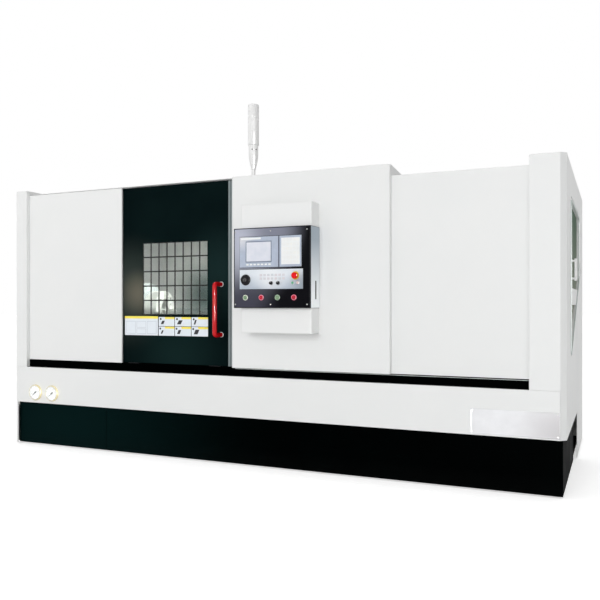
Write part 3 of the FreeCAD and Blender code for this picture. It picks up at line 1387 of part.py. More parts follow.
# ---- inspection door in the right end ----
def make_end_door():
    x1 = right_x - 2
    x0 = x1 - end_door_thickness
    leaf = rounded_prism_x(end_door_outline(-end_door_gap), end_door_corner - end_door_gap, x0, x1)
    hole = rounded_prism_x(end_door_outline(-end_frame), end_door_corner - end_frame, x0 - 1, x1 + 1)
    rail = box(x0, x1, front_y + end_door_front + end_frame - 2, front_y + end_door_rear - end_frame + 2,
               end_rail_bottom, end_rail_bottom + end_rail_height)
    rail = rail.common(leaf)
    frame = joined(without(leaf, hole), rail)
    y = front_y + end_door_front + end_frame + 80
    grip = sided_z([(end_handle_low, 8), (end_handle_high, 8)], right_x + end_handle_reach - 8, y,
                   hinge_sides)
    post_y = front_y + end_door_front + end_frame / 2 + 6
    arms = [box(x1 - 2, right_x + end_handle_reach - 8, y - 6, y + 6, z, z + 12)
            for z in (end_handle_low + 8, end_handle_high - 20)]
    plate = box(x0, x1, post_y, y + 14, end_handle_low - 6, end_handle_high + 6)
    parts = [grip, plate]
    parts += arms
    for z in end_hinge_heights:
        parts.append(door_hinge(end_hinge_x, end_hinge_y, z))
        parts.append(box(x1 - 3, end_hinge_x + 1, end_hinge_y - 32, end_hinge_y - 4,
                         z + hinge_length + 0.5, z + 2 * hinge_length))
    door = joined(frame, *parts)
    bores = [hinge_bore(end_hinge_x, end_hinge_y, z) for z in end_hinge_heights]
    save("end_door", without(door, *bores))
    pane = rounded_prism_x(end_door_outline(-end_frame + 14), end_door_corner - end_frame + 14,
                           x0 - glass_thickness, x0)
    save("end_window", pane)


os.makedirs("parts", exist_ok=True)
make_base()
make_bed()
make_rails()
make_feed_screw()
make_headstock()
make_spindle()
make_chuck()
make_drive()
make_carriage()
make_cross_slide()
make_turret_disc()
make_tailstock()
make_end_covers()
make_front_panels()
make_left_roof()
make_rear_cover()
make_cabinet_door()
make_apron_and_slot()
make_door()
make_door_handle()
make_door_strip()
make_door_slides()
make_console_box()
make_console_housing()
make_units()
make_controls()
make_gauges()
make_signal_tower()
make_end_door()
print("overall length", cover_length + end_handle_reach, "depth", cover_depth + front_reach + rear_reach)
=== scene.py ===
# Turning lathe with a sliding door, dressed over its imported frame.
# Lengths are in metres: X to the right, Y to the back, Z up.
import math
from functools import partial

import bmesh
import bpy
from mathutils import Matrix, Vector


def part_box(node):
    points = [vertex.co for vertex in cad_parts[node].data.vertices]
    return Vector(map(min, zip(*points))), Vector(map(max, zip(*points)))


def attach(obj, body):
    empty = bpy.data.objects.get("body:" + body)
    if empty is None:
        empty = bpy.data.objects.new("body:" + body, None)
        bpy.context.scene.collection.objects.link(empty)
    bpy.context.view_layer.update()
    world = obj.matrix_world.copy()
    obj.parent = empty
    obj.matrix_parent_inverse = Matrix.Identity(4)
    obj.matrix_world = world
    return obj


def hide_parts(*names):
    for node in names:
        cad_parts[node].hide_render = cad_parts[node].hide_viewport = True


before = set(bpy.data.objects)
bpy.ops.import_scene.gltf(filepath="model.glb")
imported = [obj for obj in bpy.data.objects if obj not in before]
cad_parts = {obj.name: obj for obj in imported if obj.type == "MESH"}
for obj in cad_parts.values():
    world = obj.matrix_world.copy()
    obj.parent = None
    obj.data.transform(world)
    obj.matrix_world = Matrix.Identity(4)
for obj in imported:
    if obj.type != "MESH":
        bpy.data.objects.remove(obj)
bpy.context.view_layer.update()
print("frame loaded:", len(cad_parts), "nodes")


# how the tools are used

def clearSelection():
    if bpy.context.mode != "OBJECT":
        bpy.ops.object.mode_set(mode="OBJECT")
    bpy.ops.object.select_all(action="DESELECT")


def activate(piece):
    clearSelection()
    piece.select_set(True)
    bpy.context.view_layer.objects.active = piece


def applyPlace(piece):
    activate(piece)
    bpy.ops.object.transform_apply(location=True, rotation=True, scale=True)


def rename(piece, name):
    piece.name = name
    piece.data.name = name
    return piece


def startBlock(name, low, high):
    clearSelection()
    middle = [(a + b) / 2 for a, b in zip(low, high)]
    bpy.ops.mesh.primitive_cube_add(size=1, location=middle)
    piece = rename(bpy.context.object, name)
    piece.scale = [b - a for a, b in zip(low, high)]
    applyPlace(piece)
    return piece


def openFaces():
    bpy.ops.object.mode_set(mode="EDIT")
    bpy.ops.mesh.select_mode(type="FACE")
    bpy.ops.mesh.select_all(action="SELECT")


def selectAll():
    bpy.ops.mesh.select_all(action="SELECT")


def closeEdit():
    bpy.ops.object.mode_set(mode="OBJECT")


def closeShape():
    selectAll()
    bpy.ops.mesh.normals_make_consistent(inside=False)
    closeEdit()


def extrude(*shift):
    bpy.ops.mesh.extrude_region_move(TRANSFORM_OT_translate={"value": shift})


facings = {"up": (0, 0, 0), "front": (math.pi / 2, 0, 0), "back": (-math.pi / 2, 0, 0),
        "right": (0, math.pi / 2, 0), "left": (0, -math.pi / 2, 0)}


def turnPiece(name, rings, sides, place, facing="front"):
    # rings are (radius, height) from the first face up, and the last one is closed too
    clearSelection()
    radius, height = rings[0]
    bpy.ops.mesh.primitive_circle_add(vertices=sides, radius=radius, fill_type="NGON")
    piece = rename(bpy.context.object, name)
    openFaces()
    bpy.ops.transform.translate(value=(0, 0, height))
    for nextRadius, nextHeight in rings[1:]:
        extrude(0, 0, nextHeight - height)
        share = nextRadius / radius
        bpy.ops.transform.resize(value=(share, share, 1), center_override=(0, 0, 0))
        radius, height = nextRadius, nextHeight
    closeShape()
    piece.rotation_euler = facings[facing]
    piece.location = place
    applyPlace(piece)
    return piece


def editFaces(piece, wanted):
    # opens the piece with only the faces picked that wanted(centre, normal) keeps
    activate(piece)
    bpy.ops.object.mode_set(mode="EDIT")
    bpy.ops.mesh.select_mode(type="FACE")
    mesh = bmesh.from_edit_mesh(piece.data)
    for face in mesh.faces:
        face.select_set(False)
    for face in mesh.faces:
        if wanted(face.calc_center_median(), face.normal):
            face.select_set(True)
    bmesh.update_edit_mesh(piece.data)


def knurl(piece, gap, depth, reach):
    # sinks the side faces one by one, where reach(centre) is true
    editFaces(piece, lambda centre, normal: abs(normal.y) < 0.2 and reach(centre))
    bpy.ops.mesh.inset(thickness=gap, depth=-depth, use_individual=True)
    closeEdit()


def sinkFront(piece, *steps):
    # steps are (width, depth), from the front face's edge inwards
    editFaces(piece, lambda centre, normal: normal.y < -0.95)
    for width, depth in steps:
        bpy.ops.mesh.inset(thickness=width, depth=-depth)
    closeEdit()


def hollowFrame(name, low, high, width):
    # a block open from front to back
    ring = startBlock(name, low, high)
    editFaces(ring, lambda centre, normal: abs(normal.y) > 0.9)
    bpy.ops.mesh.inset(thickness=width)
    bpy.ops.mesh.bridge_edge_loops()
    closeEdit()
    return ring


def applyModifier(piece, kind, **settings):
    activate(piece)
    bpy.ops.object.modifier_add(type=kind)
    modifier = piece.modifiers[-1]
    for name, value in settings.items():
        setattr(modifier, name, value)
    bpy.ops.object.modifier_apply(modifier=modifier.name)


def bevelEdges(piece, width, segments=1, angle=35):
    applyModifier(piece, "BEVEL", width=width, segments=segments, limit_method="ANGLE",
            angle_limit=math.radians(angle))


def repeatAlong(piece, count, step):
    applyModifier(piece, "ARRAY", count=count, use_relative_offset=False, use_constant_offset=True,
            constant_offset_displace=step)


def cutAway(piece, cutter):
    applyModifier(piece, "BOOLEAN", operation="DIFFERENCE", object=cutter)
    bpy.data.objects.remove(cutter, do_unlink=True)


def smooth(piece, angle):
    activate(piece)
    bpy.ops.object.shade_smooth_by_angle(angle=math.radians(angle))


def joinPieces(name, pieces):
    clearSelection()
    for piece in pieces:
        piece.select_set(True)
    bpy.context.view_layer.objects.active = pieces[0]
    bpy.ops.object.join()
    return rename(bpy.context.object, name)


def scatterCopies(name, piece, spots):
    # the first spot is where the modelled one stands
    copies = []
    for spot in spots[1:]:
        activate(piece)
        bpy.ops.object.duplicate()
        copy = bpy.context.object
        copy.location = Vector(spot) - Vector(spots[0])
        applyPlace(copy)
        copies.append(copy)
    return joinPieces(name, [piece] + copies)


def around(x, y, z, turn, ring):
    # a place on a ring that faces the front, turned clockwise from its top
    return (x + math.sin(turn) * ring, y, z + math.cos(turn) * ring)


def makeTick(place, turn, size):
    clearSelection()
    bpy.ops.mesh.primitive_cube_add(size=1, rotation=(0, turn, 0), location=place)
    tick = bpy.context.object
    tick.scale = size
    applyPlace(tick)
    return tick


def seat(piece, finish, body="machine", node=None):
    piece.data.materials.clear()
    piece.data.materials.append(finishes[finish])
    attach(piece, body)
    if node:
        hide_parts(node)


def seatBlock(name, low, high, bevel, finish, body="machine"):
    block = startBlock(name, low, high)
    bevelEdges(block, bevel)
    seat(block, finish, body)


def seatTurned(name, rings, sides, place, angle, finish, body="machine", node=None, facing="front"):
    piece = turnPiece(name, rings, sides, place, facing)
    if angle:
        smooth(piece, angle)
    seat(piece, finish, body, node)


def seatScattered(name, rings, sides, spots, angle, finish, body="machine", facing="front"):
    pieces = scatterCopies(name, turnPiece(name, rings, sides, spots[0], facing), spots)
    smooth(pieces, angle)
    seat(pieces, finish, body)


def middleOf(node):
    low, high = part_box(node)
    return (low + high) / 2


# shader helpers

def feed(tree, target, value):
    # links a socket, and types anything else in
    if isinstance(value, bpy.types.NodeSocket):
        tree.links.new(value, target)
    elif isinstance(value, tuple) and len(target.default_value) == 4:
        target.default_value = (*value, 1)
    else:
        target.default_value = value


def addNode(tree, kind, values, **settings):
    node = tree.nodes.new("ShaderNode" + kind)
    for name, value in settings.items():
        setattr(node, name, value)
    for name, value in values.items():
        feed(tree, node.inputs[name], value)
    return node.outputs


def newGroup(name, inputs, outputs):
    group = bpy.data.node_groups.new(name, "ShaderNodeTree")
    for label, value in inputs.items():
        kind = "NodeSocketVector" if isinstance(value, tuple) else "NodeSocketFloat"
        group.interface.new_socket(name=label, in_out="INPUT", socket_type=kind).default_value = value
    for label in outputs:
        kind = "NodeSocketVector" if label == "Normal" else "NodeSocketFloat"
        group.interface.new_socket(name=label, in_out="OUTPUT", socket_type=kind)
    return group, group.nodes.new("NodeGroupInput").outputs, group.nodes.new("NodeGroupOutput").inputs


def mixColours(tree, factor, first, second):
    return addNode(tree, "Mix", {0: factor, 6: first, 7: second}, data_type="RGBA")[2]


def mapValue(tree, source, fromLow, fromHigh, toLow=0, toHigh=1):
    return addNode(tree, "MapRange", {0: source, 1: fromLow, 2: fromHigh, 3: toLow, 4: toHigh})[0]


def calculate(tree, operation, first, second):
    return addNode(tree, "Math", {0: first, 1: second}, operation=operation)[0]


def placeOf(tree):
    return addNode(tree, "TexCoord", {})["Object"]


def heightOf(tree, vector):
    return addNode(tree, "SeparateXYZ", {0: vector})["Z"]


def addNoise(tree, vector, scale, detail, roughness, distortion=0):
    return addNode(tree, "TexNoise", {"Vector": vector, "Scale": scale, "Detail": detail,
            "Roughness": roughness, "Distortion": distortion})["Fac"]


def paintedLightAndShade(tree, tone, look):
    # a look may add a fade between two heights, and soft round patches, strongest at their middle; both are
    # painted light and shade
    if "fade" in look:
        low, high, colour = look["fade"]
        tone = mixColours(tree, mapValue(tree, heightOf(tree, placeOf(tree)), low, high), tone, colour)
    for middle, reach, colour in look.get("patches", ()):
        away = addNode(tree, "VectorMath", {0: placeOf(tree), 1: middle}, operation="DISTANCE")["Value"]
        fall = addNode(tree, "MapRange", {0: away, 1: 0, 2: reach, 3: 1, 4: 0},
                interpolation_type="SMOOTHSTEP")[0]
        tone = mixColours(tree, fall, tone, colour)
    return tone


def seenDirectly(tree):
    # true for what the camera sees itself, in a reflection or through glass
    path = addNode(tree, "LightPath", {})
    seen = calculate(tree, "MAXIMUM", path["Is Camera Ray"], path["Is Glossy Ray"])
    return calculate(tree, "MAXIMUM", seen, path["Is Transmission Ray"])


def makePaintSkin():
    # orange peel, and broad cloudy patches for tone and gloss
    group, given, made = newGroup("paint skin", {"Peel Scale": 700, "Patch Scale": 3}, ("Height", "Patch"))
    place = placeOf(group)
    patch = addNoise(group, place, given["Patch Scale"], 4, 0.55, 0.3)
    feed(group, made["Height"], addNoise(group, place, given["Peel Scale"], 2, 0.4))
    feed(group, made["Patch"], mapValue(group, patch, 0.3, 0.7))
    return group


def makeEdgeWear():
    # softens hard edges and marks where they are rubbed
    group, given, made = newGroup("edge wear", {"Radius": 0.002, "Amount": 0.5}, ("Mask", "Normal"))
    rounded = addNode(group, "Bevel", {"Radius": given["Radius"]}, samples=4)["Normal"]
    surface = addNode(group, "NewGeometry", {})["Normal"]
    bend = addNode(group, "VectorMath", {0: rounded, 1: surface}, operation="DOT_PRODUCT")["Value"]
    chips = addNoise(group, placeOf(group), 90, 5, 0.65)
    mask = calculate(group, "MULTIPLY", mapValue(group, bend, 0.985, 0.88),
            mapValue(group, chips, 0.4, 0.62))
    feed(group, made["Mask"], calculate(group, "MULTIPLY", mask, given["Amount"]))
    feed(group, made["Normal"], rounded)
    return group


def makeSettledDust():
    # dust on what looks up, and a dirty hem near the floor
    group, given, made = newGroup("settled dust", {"Amount": 0.3, "Hem": 0.25}, ("Mask",))
    surface = addNode(group, "NewGeometry", {})["Normal"]
    place = placeOf(group)
    up = mapValue(group, heightOf(group, surface), 0.6, 1)
    low = mapValue(group, heightOf(group, place), 0.12, 0.01)
    hem = calculate(group, "MULTIPLY", low, given["Hem"])
    both = calculate(group, "MAXIMUM", hem, calculate(group, "MULTIPLY", up, given["Amount"]))
    cloud = addNoise(group, place, 9, 6, 0.6)
    feed(group, made["Mask"], calculate(group, "MULTIPLY", both, cloud))
    return group


def makeToolGrain():
    # fine lines left by grinding or brushing, drawn out along one direction
    group, given, made = newGroup("tool grain", {"Stretch": (1, 60, 60), "Scale": 20}, ("Height", "Tone"))
    place = placeOf(group)
    drawn = addNode(group, "VectorMath", {0: place, 1: given["Stretch"]}, operation="MULTIPLY")["Vector"]
    stains = addNoise(group, place, 14, 5, 0.6)
    feed(group, made["Height"], addNoise(group, drawn, given["Scale"], 4, 0.6))
    feed(group, made["Tone"], mapValue(group, stains, 0.3, 0.7))
    return group


paintSkin = makePaintSkin()
edgeWear = makeEdgeWear()
settledDust = makeSettledDust()
toolGrain = makeToolGrain()
print("shader groups ready")


def newMaterial(name):
    material = bpy.data.materials.new(name)
    material.use_nodes = True
    tree = material.node_tree
    return material, tree, tree.nodes["Principled BSDF"].inputs


# pattern is a group with its two inputs, tone mixes colour and shade, and gloss follows glossBy
skinned = {"pattern": paintSkin, "inputs": ("Peel Scale", "Patch Scale"), "tone": "Patch",
        "glossBy": ("Patch", 0, 1)}
surfaceKinds = {
    "paint": {**skinned, "bump": 0.35, "grain": (420, 5), "depth": 0.0003, "edge": (0.003, 0.3),
        "dust": (0.2, 0)},
    "metal": {"pattern": toolGrain, "inputs": ("Stretch", "Scale"), "tone": "Tone",
        "glossBy": ("Height", 0.3, 0.7), "bump": 0.4, "depth": 0.0002, "edge": (0.001, 0.5)},
    "plastic": {**skinned, "bump": 0.3, "grain": (900, 22), "depth": 0.00012, "edge": (0.0008, 0.15),
        "rubbed": (0.5, 0.5, 0.5), "gloss": (0.3, 0.42), "specular": 0.45},
    "glass": {"pattern": toolGrain, "inputs": ("Stretch", "Scale"), "tone": "Tone",
        "glossBy": ("Height", 0.3, 0.75), "bump": 0.2, "grain": ((3, 1, 0.7), 4), "depth": 0.0004,
        "ior": 1.45, "clear": 1},
}
shaderInputs = {"specular": "Specular IOR Level", "metallic": "Metallic", "ior": "IOR",
        "clear": "Transmission Weight", "glow": "Emission Color", "glowStrength": "Emission Strength"}


def makeFinish(name, look):
    material, tree, shader = newMaterial(name)
    skin = addNode(tree, "Group", dict(zip(look["inputs"], look["grain"])), node_tree=look["pattern"])
    tone = mixColours(tree, skin[look["tone"]], look["colour"], look["shade"])
    tone = paintedLightAndShade(tree, tone, look)
    bump = {"Strength": look["bump"], "Distance": look["depth"], "Height": skin["Height"]}
    if "edge" in look:
        radius, wear = look["edge"]
        edge = addNode(tree, "Group", {"Radius": radius, "Amount": wear}, node_tree=edgeWear)
        tone = mixColours(tree, edge["Mask"], tone, look["rubbed"])
        bump["Normal"] = edge["Normal"]
    if "dust" in look:
        amount, hem = look["dust"]
        dust = addNode(tree, "Group", {"Amount": amount, "Hem": hem}, node_tree=settledDust)
        tone = mixColours(tree, dust["Mask"], tone, look["dustColour"])
    source, low, high = look["glossBy"]
    feed(tree, shader["Base Color"], tone)
    feed(tree, shader["Roughness"], mapValue(tree, skin[source], low, high, *look["gloss"]))
    feed(tree, shader["Normal"], addNode(tree, "Bump", bump)["Normal"])
    for key, label in shaderInputs.items():
        if key in look:
            feed(tree, shader[label], look[key])
    return material


def lookOf(kind, colour, shade, **more):
    return {**surfaceKinds[kind], "colour": colour, "shade": shade, **more}


paint, metal, plastic, glass = (partial(lookOf, kind) for kind in surfaceKinds)

# grain is the pattern's scale, edge is a radius and its wear, dust is its amount and the hem's
looks = {
    "white_paint": paint((0.8, 0.806, 0.8), (0.776, 0.786, 0.782), rubbed=(0.6, 0.61, 0.6),
        dustColour=(0.66, 0.65, 0.61), gloss=(0.36, 0.48), specular=0.25, grain=(520, 1.6), depth=0.00025,
        edge=(0.003, 0.15), dust=(0.15, 0.2)),
    "slot_black": paint((0, 0.0002, 0.0002), (0.0001, 0.0006, 0.0006), rubbed=(0.01, 0.011, 0.011),
        dustColour=(0.01, 0.011, 0.011), gloss=(0.46, 0.6), specular=0.003, grain=(420, 2.6), depth=0.0004,
        dust=(0.25, 0.2)),
    # painted light: the black housing's front is lighter toward its top, most at its top left, a painted
    # sheen, and faintly lighter low down
    "housing_black": paint((0.0008, 0.0008, 0.0022), (0.0018, 0.0018, 0.0036), rubbed=(0.06, 0.06, 0.065),
        dustColour=(0.05, 0.05, 0.05), gloss=(0.34, 0.48), specular=0.05, edge=(0.002, 0.3),
        patches=(((0.03, -1.07, 1.48), 0.5, (0.46, 0.48, 0.57)),
        ((0.3, -1.07, 1.54), 0.24, (0.22, 0.23, 0.29)), ((0.1, -1.07, 1.07), 0.25, (0.055, 0.055, 0.078)))),
    # painted light: the door is lighter left and right of its window and below it, with a brownish painted
    # reflection beside the window's left edge
    "door_paint": paint((0.0002, 0.0038, 0.0042), (0.001, 0.0062, 0.0064), rubbed=(0.03, 0.045, 0.043),
        dustColour=(0.03, 0.035, 0.033), gloss=(0.44, 0.58), specular=0.02, grain=(480, 3.4),
        edge=(0.0025, 0.3), patches=(((-0.96, -0.87, 1.16), 0.46, (0.036, 0.047, 0.041)),
        ((-0.88, -0.87, 1.15), 0.2, (0.125, 0.118, 0.09)), ((-0.2, -0.87, 1.3), 0.4, (0.0065, 0.019, 0.019)),
        ((-0.55, -0.87, 0.7), 0.45, (0.004, 0.015, 0.0145)))),
    "machine_grey": paint((0.3, 0.325, 0.33), (0.25, 0.275, 0.28), rubbed=(0.42, 0.42, 0.41),
        dustColour=(0.22, 0.21, 0.19), gloss=(0.35, 0.55), specular=0.4, grain=(260, 6), depth=0.0009,
        edge=(0.004, 0.6), dust=(0.4, 0.4)),
    "cast_bed": paint((0.2, 0.225, 0.23), (0.15, 0.17, 0.175), rubbed=(0.34, 0.34, 0.33),
        dustColour=(0.17, 0.16, 0.14), gloss=(0.42, 0.65), specular=0.35, grain=(180, 5), depth=0.0016,
        edge=(0.005, 0.6), dust=(0.5, 0.4)),
    "ground_steel": metal((0.6, 0.6, 0.585), (0.5, 0.495, 0.48), rubbed=(0.75, 0.75, 0.73), metallic=0.95,
        gloss=(0.2, 0.38), grain=((1, 40, 40), 22), edge=(0.0015, 0.6)),
    "dark_steel": metal((0.05, 0.05, 0.054), (0.035, 0.034, 0.036), rubbed=(0.4, 0.39, 0.37), metallic=0.8,
        gloss=(0.3, 0.48), grain=((30, 1, 30), 24), edge=(0.0015, 0.8)),
    "grey_profile": metal((0.2, 0.235, 0.24), (0.18, 0.215, 0.22), rubbed=(0.42, 0.45, 0.45), metallic=0.2,
        gloss=(0.32, 0.46), grain=((60, 60, 1), 16)),
    "grid_grey": metal((0.036, 0.036, 0.032), (0.026, 0.026, 0.024), rubbed=(0.16, 0.15, 0.14), metallic=0.3,
        gloss=(0.4, 0.55), grain=((20, 20, 20), 20)),
    # the plate is painted darker toward its lower right, a painted shade
    "plate_silver": metal((0.66, 0.665, 0.68), (0.6, 0.605, 0.62), rubbed=(0.78, 0.78, 0.78), metallic=0.3,
        gloss=(0.28, 0.42), grain=((1, 40, 90), 12), depth=0.0001, edge=(0.0008, 0.5),
        patches=(((1.98, -0.92, 0.36), 0.34, (0.42, 0.41, 0.42)),), slot="ground_steel"),
    "rim_chrome": metal((0.82, 0.81, 0.79), (0.74, 0.73, 0.72), rubbed=(0.9, 0.9, 0.89), metallic=0.45,
        gloss=(0.14, 0.24), grain=((30, 30, 30), 18), depth=0.0001, edge=(0.0008, 0.4), slot="ground_steel"),
    "jaw_steel": metal((0.62, 0.63, 0.61), (0.5, 0.51, 0.5), rubbed=(0.82, 0.82, 0.8), metallic=0.6,
        gloss=(0.24, 0.4), grain=((1, 40, 40), 26), edge=(0.0012, 0.7)),
    "chuck_steel": metal((0.74, 0.75, 0.73), (0.66, 0.67, 0.65), rubbed=(0.85, 0.85, 0.83), metallic=0.35,
        gloss=(0.28, 0.4), grain=((60, 3, 3), 30), depth=0.0001, edge=(0.0012, 0.4), slot="ground_steel"),
    "rim_brass": metal((0.88, 0.78, 0.5), (0.8, 0.7, 0.42), rubbed=(0.88, 0.82, 0.64), metallic=0.4,
        gloss=(0.18, 0.3), grain=((30, 30, 30), 18), depth=0.0001, edge=(0.0008, 0.5), slot="ground_steel"),
    "red_plastic": plastic((0.8, 0, 0.004), (0.72, 0, 0.003), rubbed=(0.85, 0.1, 0.1), gloss=(0.06, 0.1),
        specular=0.22, grain=(300, 22), depth=0.00002),
    # a darker copy of red_plastic for the door handle: painted shade
    "handle_red": plastic((0.55, 0, 0.004), (0.49, 0, 0.003), rubbed=(0.7, 0.08, 0.08), gloss=(0.03, 0.05),
        specular=0.22, grain=(300, 22), depth=0.00001, slot="red_plastic"),
    "pale_green_plastic": plastic((0.32, 0.42, 0.28), (0.27, 0.37, 0.24)),
    "green_plastic": plastic((0.12, 0.42, 0.24), (0.1, 0.36, 0.2)),
    "pink_plastic": plastic((0.8, 0.62, 0.6), (0.74, 0.55, 0.54)),
    "black_plastic": plastic((0.006, 0.006, 0.008), (0.01, 0.01, 0.012), rubbed=(0.1, 0.1, 0.1),
        specular=0.14),
    # the control unit is painted lighter at its top left, a painted highlight
    "grey_plastic": plastic((0.44, 0.5, 0.61), (0.38, 0.43, 0.53), rubbed=(0.7, 0.72, 0.78),
        patches=(((0.07, -1.07, 1.49), 0.11, (0.64, 0.65, 0.69)),)),
    # painted light and shade on the operator panel: lighter toward its top and near its middle, darker
    # toward its right
    "light_plastic": plastic((0.42, 0.48, 0.56), (0.38, 0.44, 0.52), rubbed=(0.7, 0.74, 0.78),
        fade=(1.165, 1.255, (0.7, 0.75, 0.8)), patches=(((0.27, -1.07, 1.24), 0.14, (0.8, 0.82, 0.85)),
        ((0.5, -1.07, 1.19), 0.13, (0.26, 0.31, 0.36)))),
    "white_plastic": plastic((0.82, 0.82, 0.815), (0.79, 0.79, 0.785), rubbed=(0.7, 0.7, 0.7),
        gloss=(0.25, 0.34)),
    "belt_rubber": plastic((0.018, 0.018, 0.018), (0.03, 0.029, 0.027), rubbed=(0.07, 0.07, 0.065),
        gloss=(0.65, 0.8), specular=0.2, grain=(300, 22), depth=0.0006),
    "ring_pink": plastic((1, 0.3, 0.4), (0.95, 0.25, 0.35), gloss=(0.15, 0.22), slot="light_plastic"),
    "ring_pale": plastic((0.84, 0.9, 0.74), (0.8, 0.86, 0.7), gloss=(0.15, 0.22), slot="light_plastic"),
    "ring_green": plastic((0.46, 0.62, 0.46), (0.41, 0.56, 0.41), gloss=(0.15, 0.22), slot="light_plastic"),
    "stop_yellow": plastic((0.8, 0.52, 0.02), (0.74, 0.47, 0.02), slot="light_plastic"),
    "card_white": plastic((0.77, 0.82, 0.87), (0.74, 0.79, 0.84), gloss=(0.35, 0.45), slot="white_plastic"),
    "card_yellow": plastic((0.94, 0.8, 0.12), (0.9, 0.75, 0.1), gloss=(0.35, 0.45), slot="white_plastic"),
    "card_line": plastic((0.52, 0.55, 0.6), (0.48, 0.51, 0.56), gloss=(0.35, 0.45), slot="grey_plastic"),
    "card_mark": plastic((0.012, 0.013, 0.018), (0.02, 0.02, 0.026), gloss=(0.35, 0.45),
        slot="black_plastic"),
    "dial_white": plastic((0.88, 0.88, 0.87), (0.85, 0.85, 0.84), gloss=(0.4, 0.5), slot="white_plastic"),
    "screen_face": plastic((0.62, 0.65, 0.72), (0.7, 0.71, 0.77), gloss=(0.1, 0.16), glow=(0.6, 0.64, 0.8),
        glowStrength=0.04, slot="grey_plastic"),
    "key_cream": plastic((0.84, 0.84, 0.81), (0.78, 0.8, 0.81), slot="light_plastic"),
    "key_blue": plastic((0.6, 0.66, 0.7), (0.7, 0.64, 0.67), slot="light_plastic"),
    # the side door's pane is drawn opaque in the tones of a painted reflection, darker toward its top as
    # painted shade
    "side_pane": plastic((0.4, 0.42, 0.35), (0.32, 0.34, 0.29), gloss=(0.2, 0.3), specular=0, grain=(40, 22),
        depth=0.0001, fade=(0.95, 1.6, (0.16, 0.22, 0.17))),
    # the housing's side plate is painted darker toward its top as painted shade, and given a faint glow as
    # painted light
    "console_side": plastic((0.93, 0.96, 0.98), (0.9, 0.93, 0.95), rubbed=(0.9, 0.9, 0.9), specular=0.2,
        fade=(1.13, 1.47, (0.3, 0.36, 0.42)), glow=(0.95, 1, 1), glowStrength=0.05, slot="grey_profile"),
    "bezel_blue": plastic((0.16, 0.2, 0.27), (0.2, 0.24, 0.32), gloss=(0.25, 0.35), slot="grey_plastic"),
    "keypad_white": plastic((0.83, 0.845, 0.84), (0.8, 0.82, 0.82), slot="grey_plastic"),
    "unit_blue": plastic((0.05, 0.06, 0.1), (0.08, 0.09, 0.13), rubbed=(0.2, 0.2, 0.24),
        slot="grey_plastic"),
    "gasket": plastic((0.62, 0.68, 0.66), (0.54, 0.6, 0.58), gloss=(0.3, 0.4), slot="grey_plastic"),
    "cap_green": plastic((0.22, 0.34, 0.2), (0.17, 0.28, 0.16), gloss=(0.15, 0.22),
        slot="pale_green_plastic"),
    "cap_red": plastic((0.52, 0.001, 0.022), (0.44, 0.001, 0.018), gloss=(0.15, 0.22), slot="red_plastic"),
    "lamp_diffuser": plastic((0.9, 0.9, 0.88), (0.86, 0.86, 0.84), glow=(1, 0.98, 0.92), glowStrength=2.5,
        slot="white_plastic"),
    # the door glass is painted darker toward the window's lower right, a painted shade on what shows through
    # it
    "clear_glass": glass((0.93, 0.97, 0.94), (0.84, 0.89, 0.85), gloss=(0.02, 0.07),
        patches=(((-0.33, -0.865, 1.13), 0.34, (0.11, 0.18, 0.17)),)),
    "tinted_glass": glass((0.34, 0.4, 0.35), (0.29, 0.35, 0.3), gloss=(0.02, 0.1)),
    "lens_glass": glass((0.97, 0.98, 0.98), (0.94, 0.95, 0.95), gloss=(0.01, 0.04), slot="clear_glass"),
}
# the base is painted lighter and greener toward its left end, a painted light, while the slot keeps the
# plain black
looks["black_paint"] = {**looks["slot_black"], "patches": (((-1.6, -0.89, 0.2), 1.9, (0.0022, 0.01, 0.01)),)}
finishes = {name: makeFinish(name, look) for name, look in looks.items()}

# nodes with a look of their own, apart from what their slot gives
ownFinish = {"console_housing": "housing_black", "jaw_1": "jaw_steel", "jaw_2": "jaw_steel",
        "jaw_3": "jaw_steel", "end_window": "side_pane", "slot_channel": "slot_black"}
for name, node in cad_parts.items():
    for materialSlot in node.material_slots:
        finish = ownFinish.get(name, materialSlot.material.name.split(".")[0])
        materialSlot.material = finishes[finish]
print("materials ready:", len(finishes))


# sliding door

def makeDoorHandle():
    handle = {"radius": 0.015, "bend": 0.0185, "sides": 32, "steps": 8, "stand": 0.004, "flange": 0.018}
    radius, bend, sides, steps, stand, flange = handle.values()
    low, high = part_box("door_handle")
    x = (low.x + high.x) / 2
    wall = high.y
    foot = wall - stand
    reach = low.y + radius + bend
    lower = low.z + flange
    upper = high.z - flange
    clearSelection()
    bpy.ops.mesh.primitive_circle_add(vertices=sides, radius=radius, fill_type="NGON",
            location=(x, foot, lower), rotation=(math.pi / 2, 0, 0))
    tube = rename(bpy.context.object, "door_handle_tube")
    openFaces()
    runs = ((0, reach - foot, 0), (0, 0, upper - lower - 2 * bend))
    for run, level in zip(runs, (lower + bend, upper - bend)):
        extrude(*run)
        bpy.ops.mesh.spin(steps=steps, angle=math.pi / 2, center=(x, reach, level), axis=(1, 0, 0))
    extrude(0, foot - reach, 0)
    closeShape()
    applyPlace(tube)
    smooth(tube, 50)
    seat(tube, "handle_red", "sliding_door", "door_handle")
    washer = [(0.0176, 0), (0.0179, 0.0006), (0.0179, 0.003), (0.017, 0.0042), (0.014, 0.0044)]
    seatScattered("door_handle_washers", washer, 32, [(x, wall, lower), (x, wall, upper)], 40,
            "white_plastic", "sliding_door")


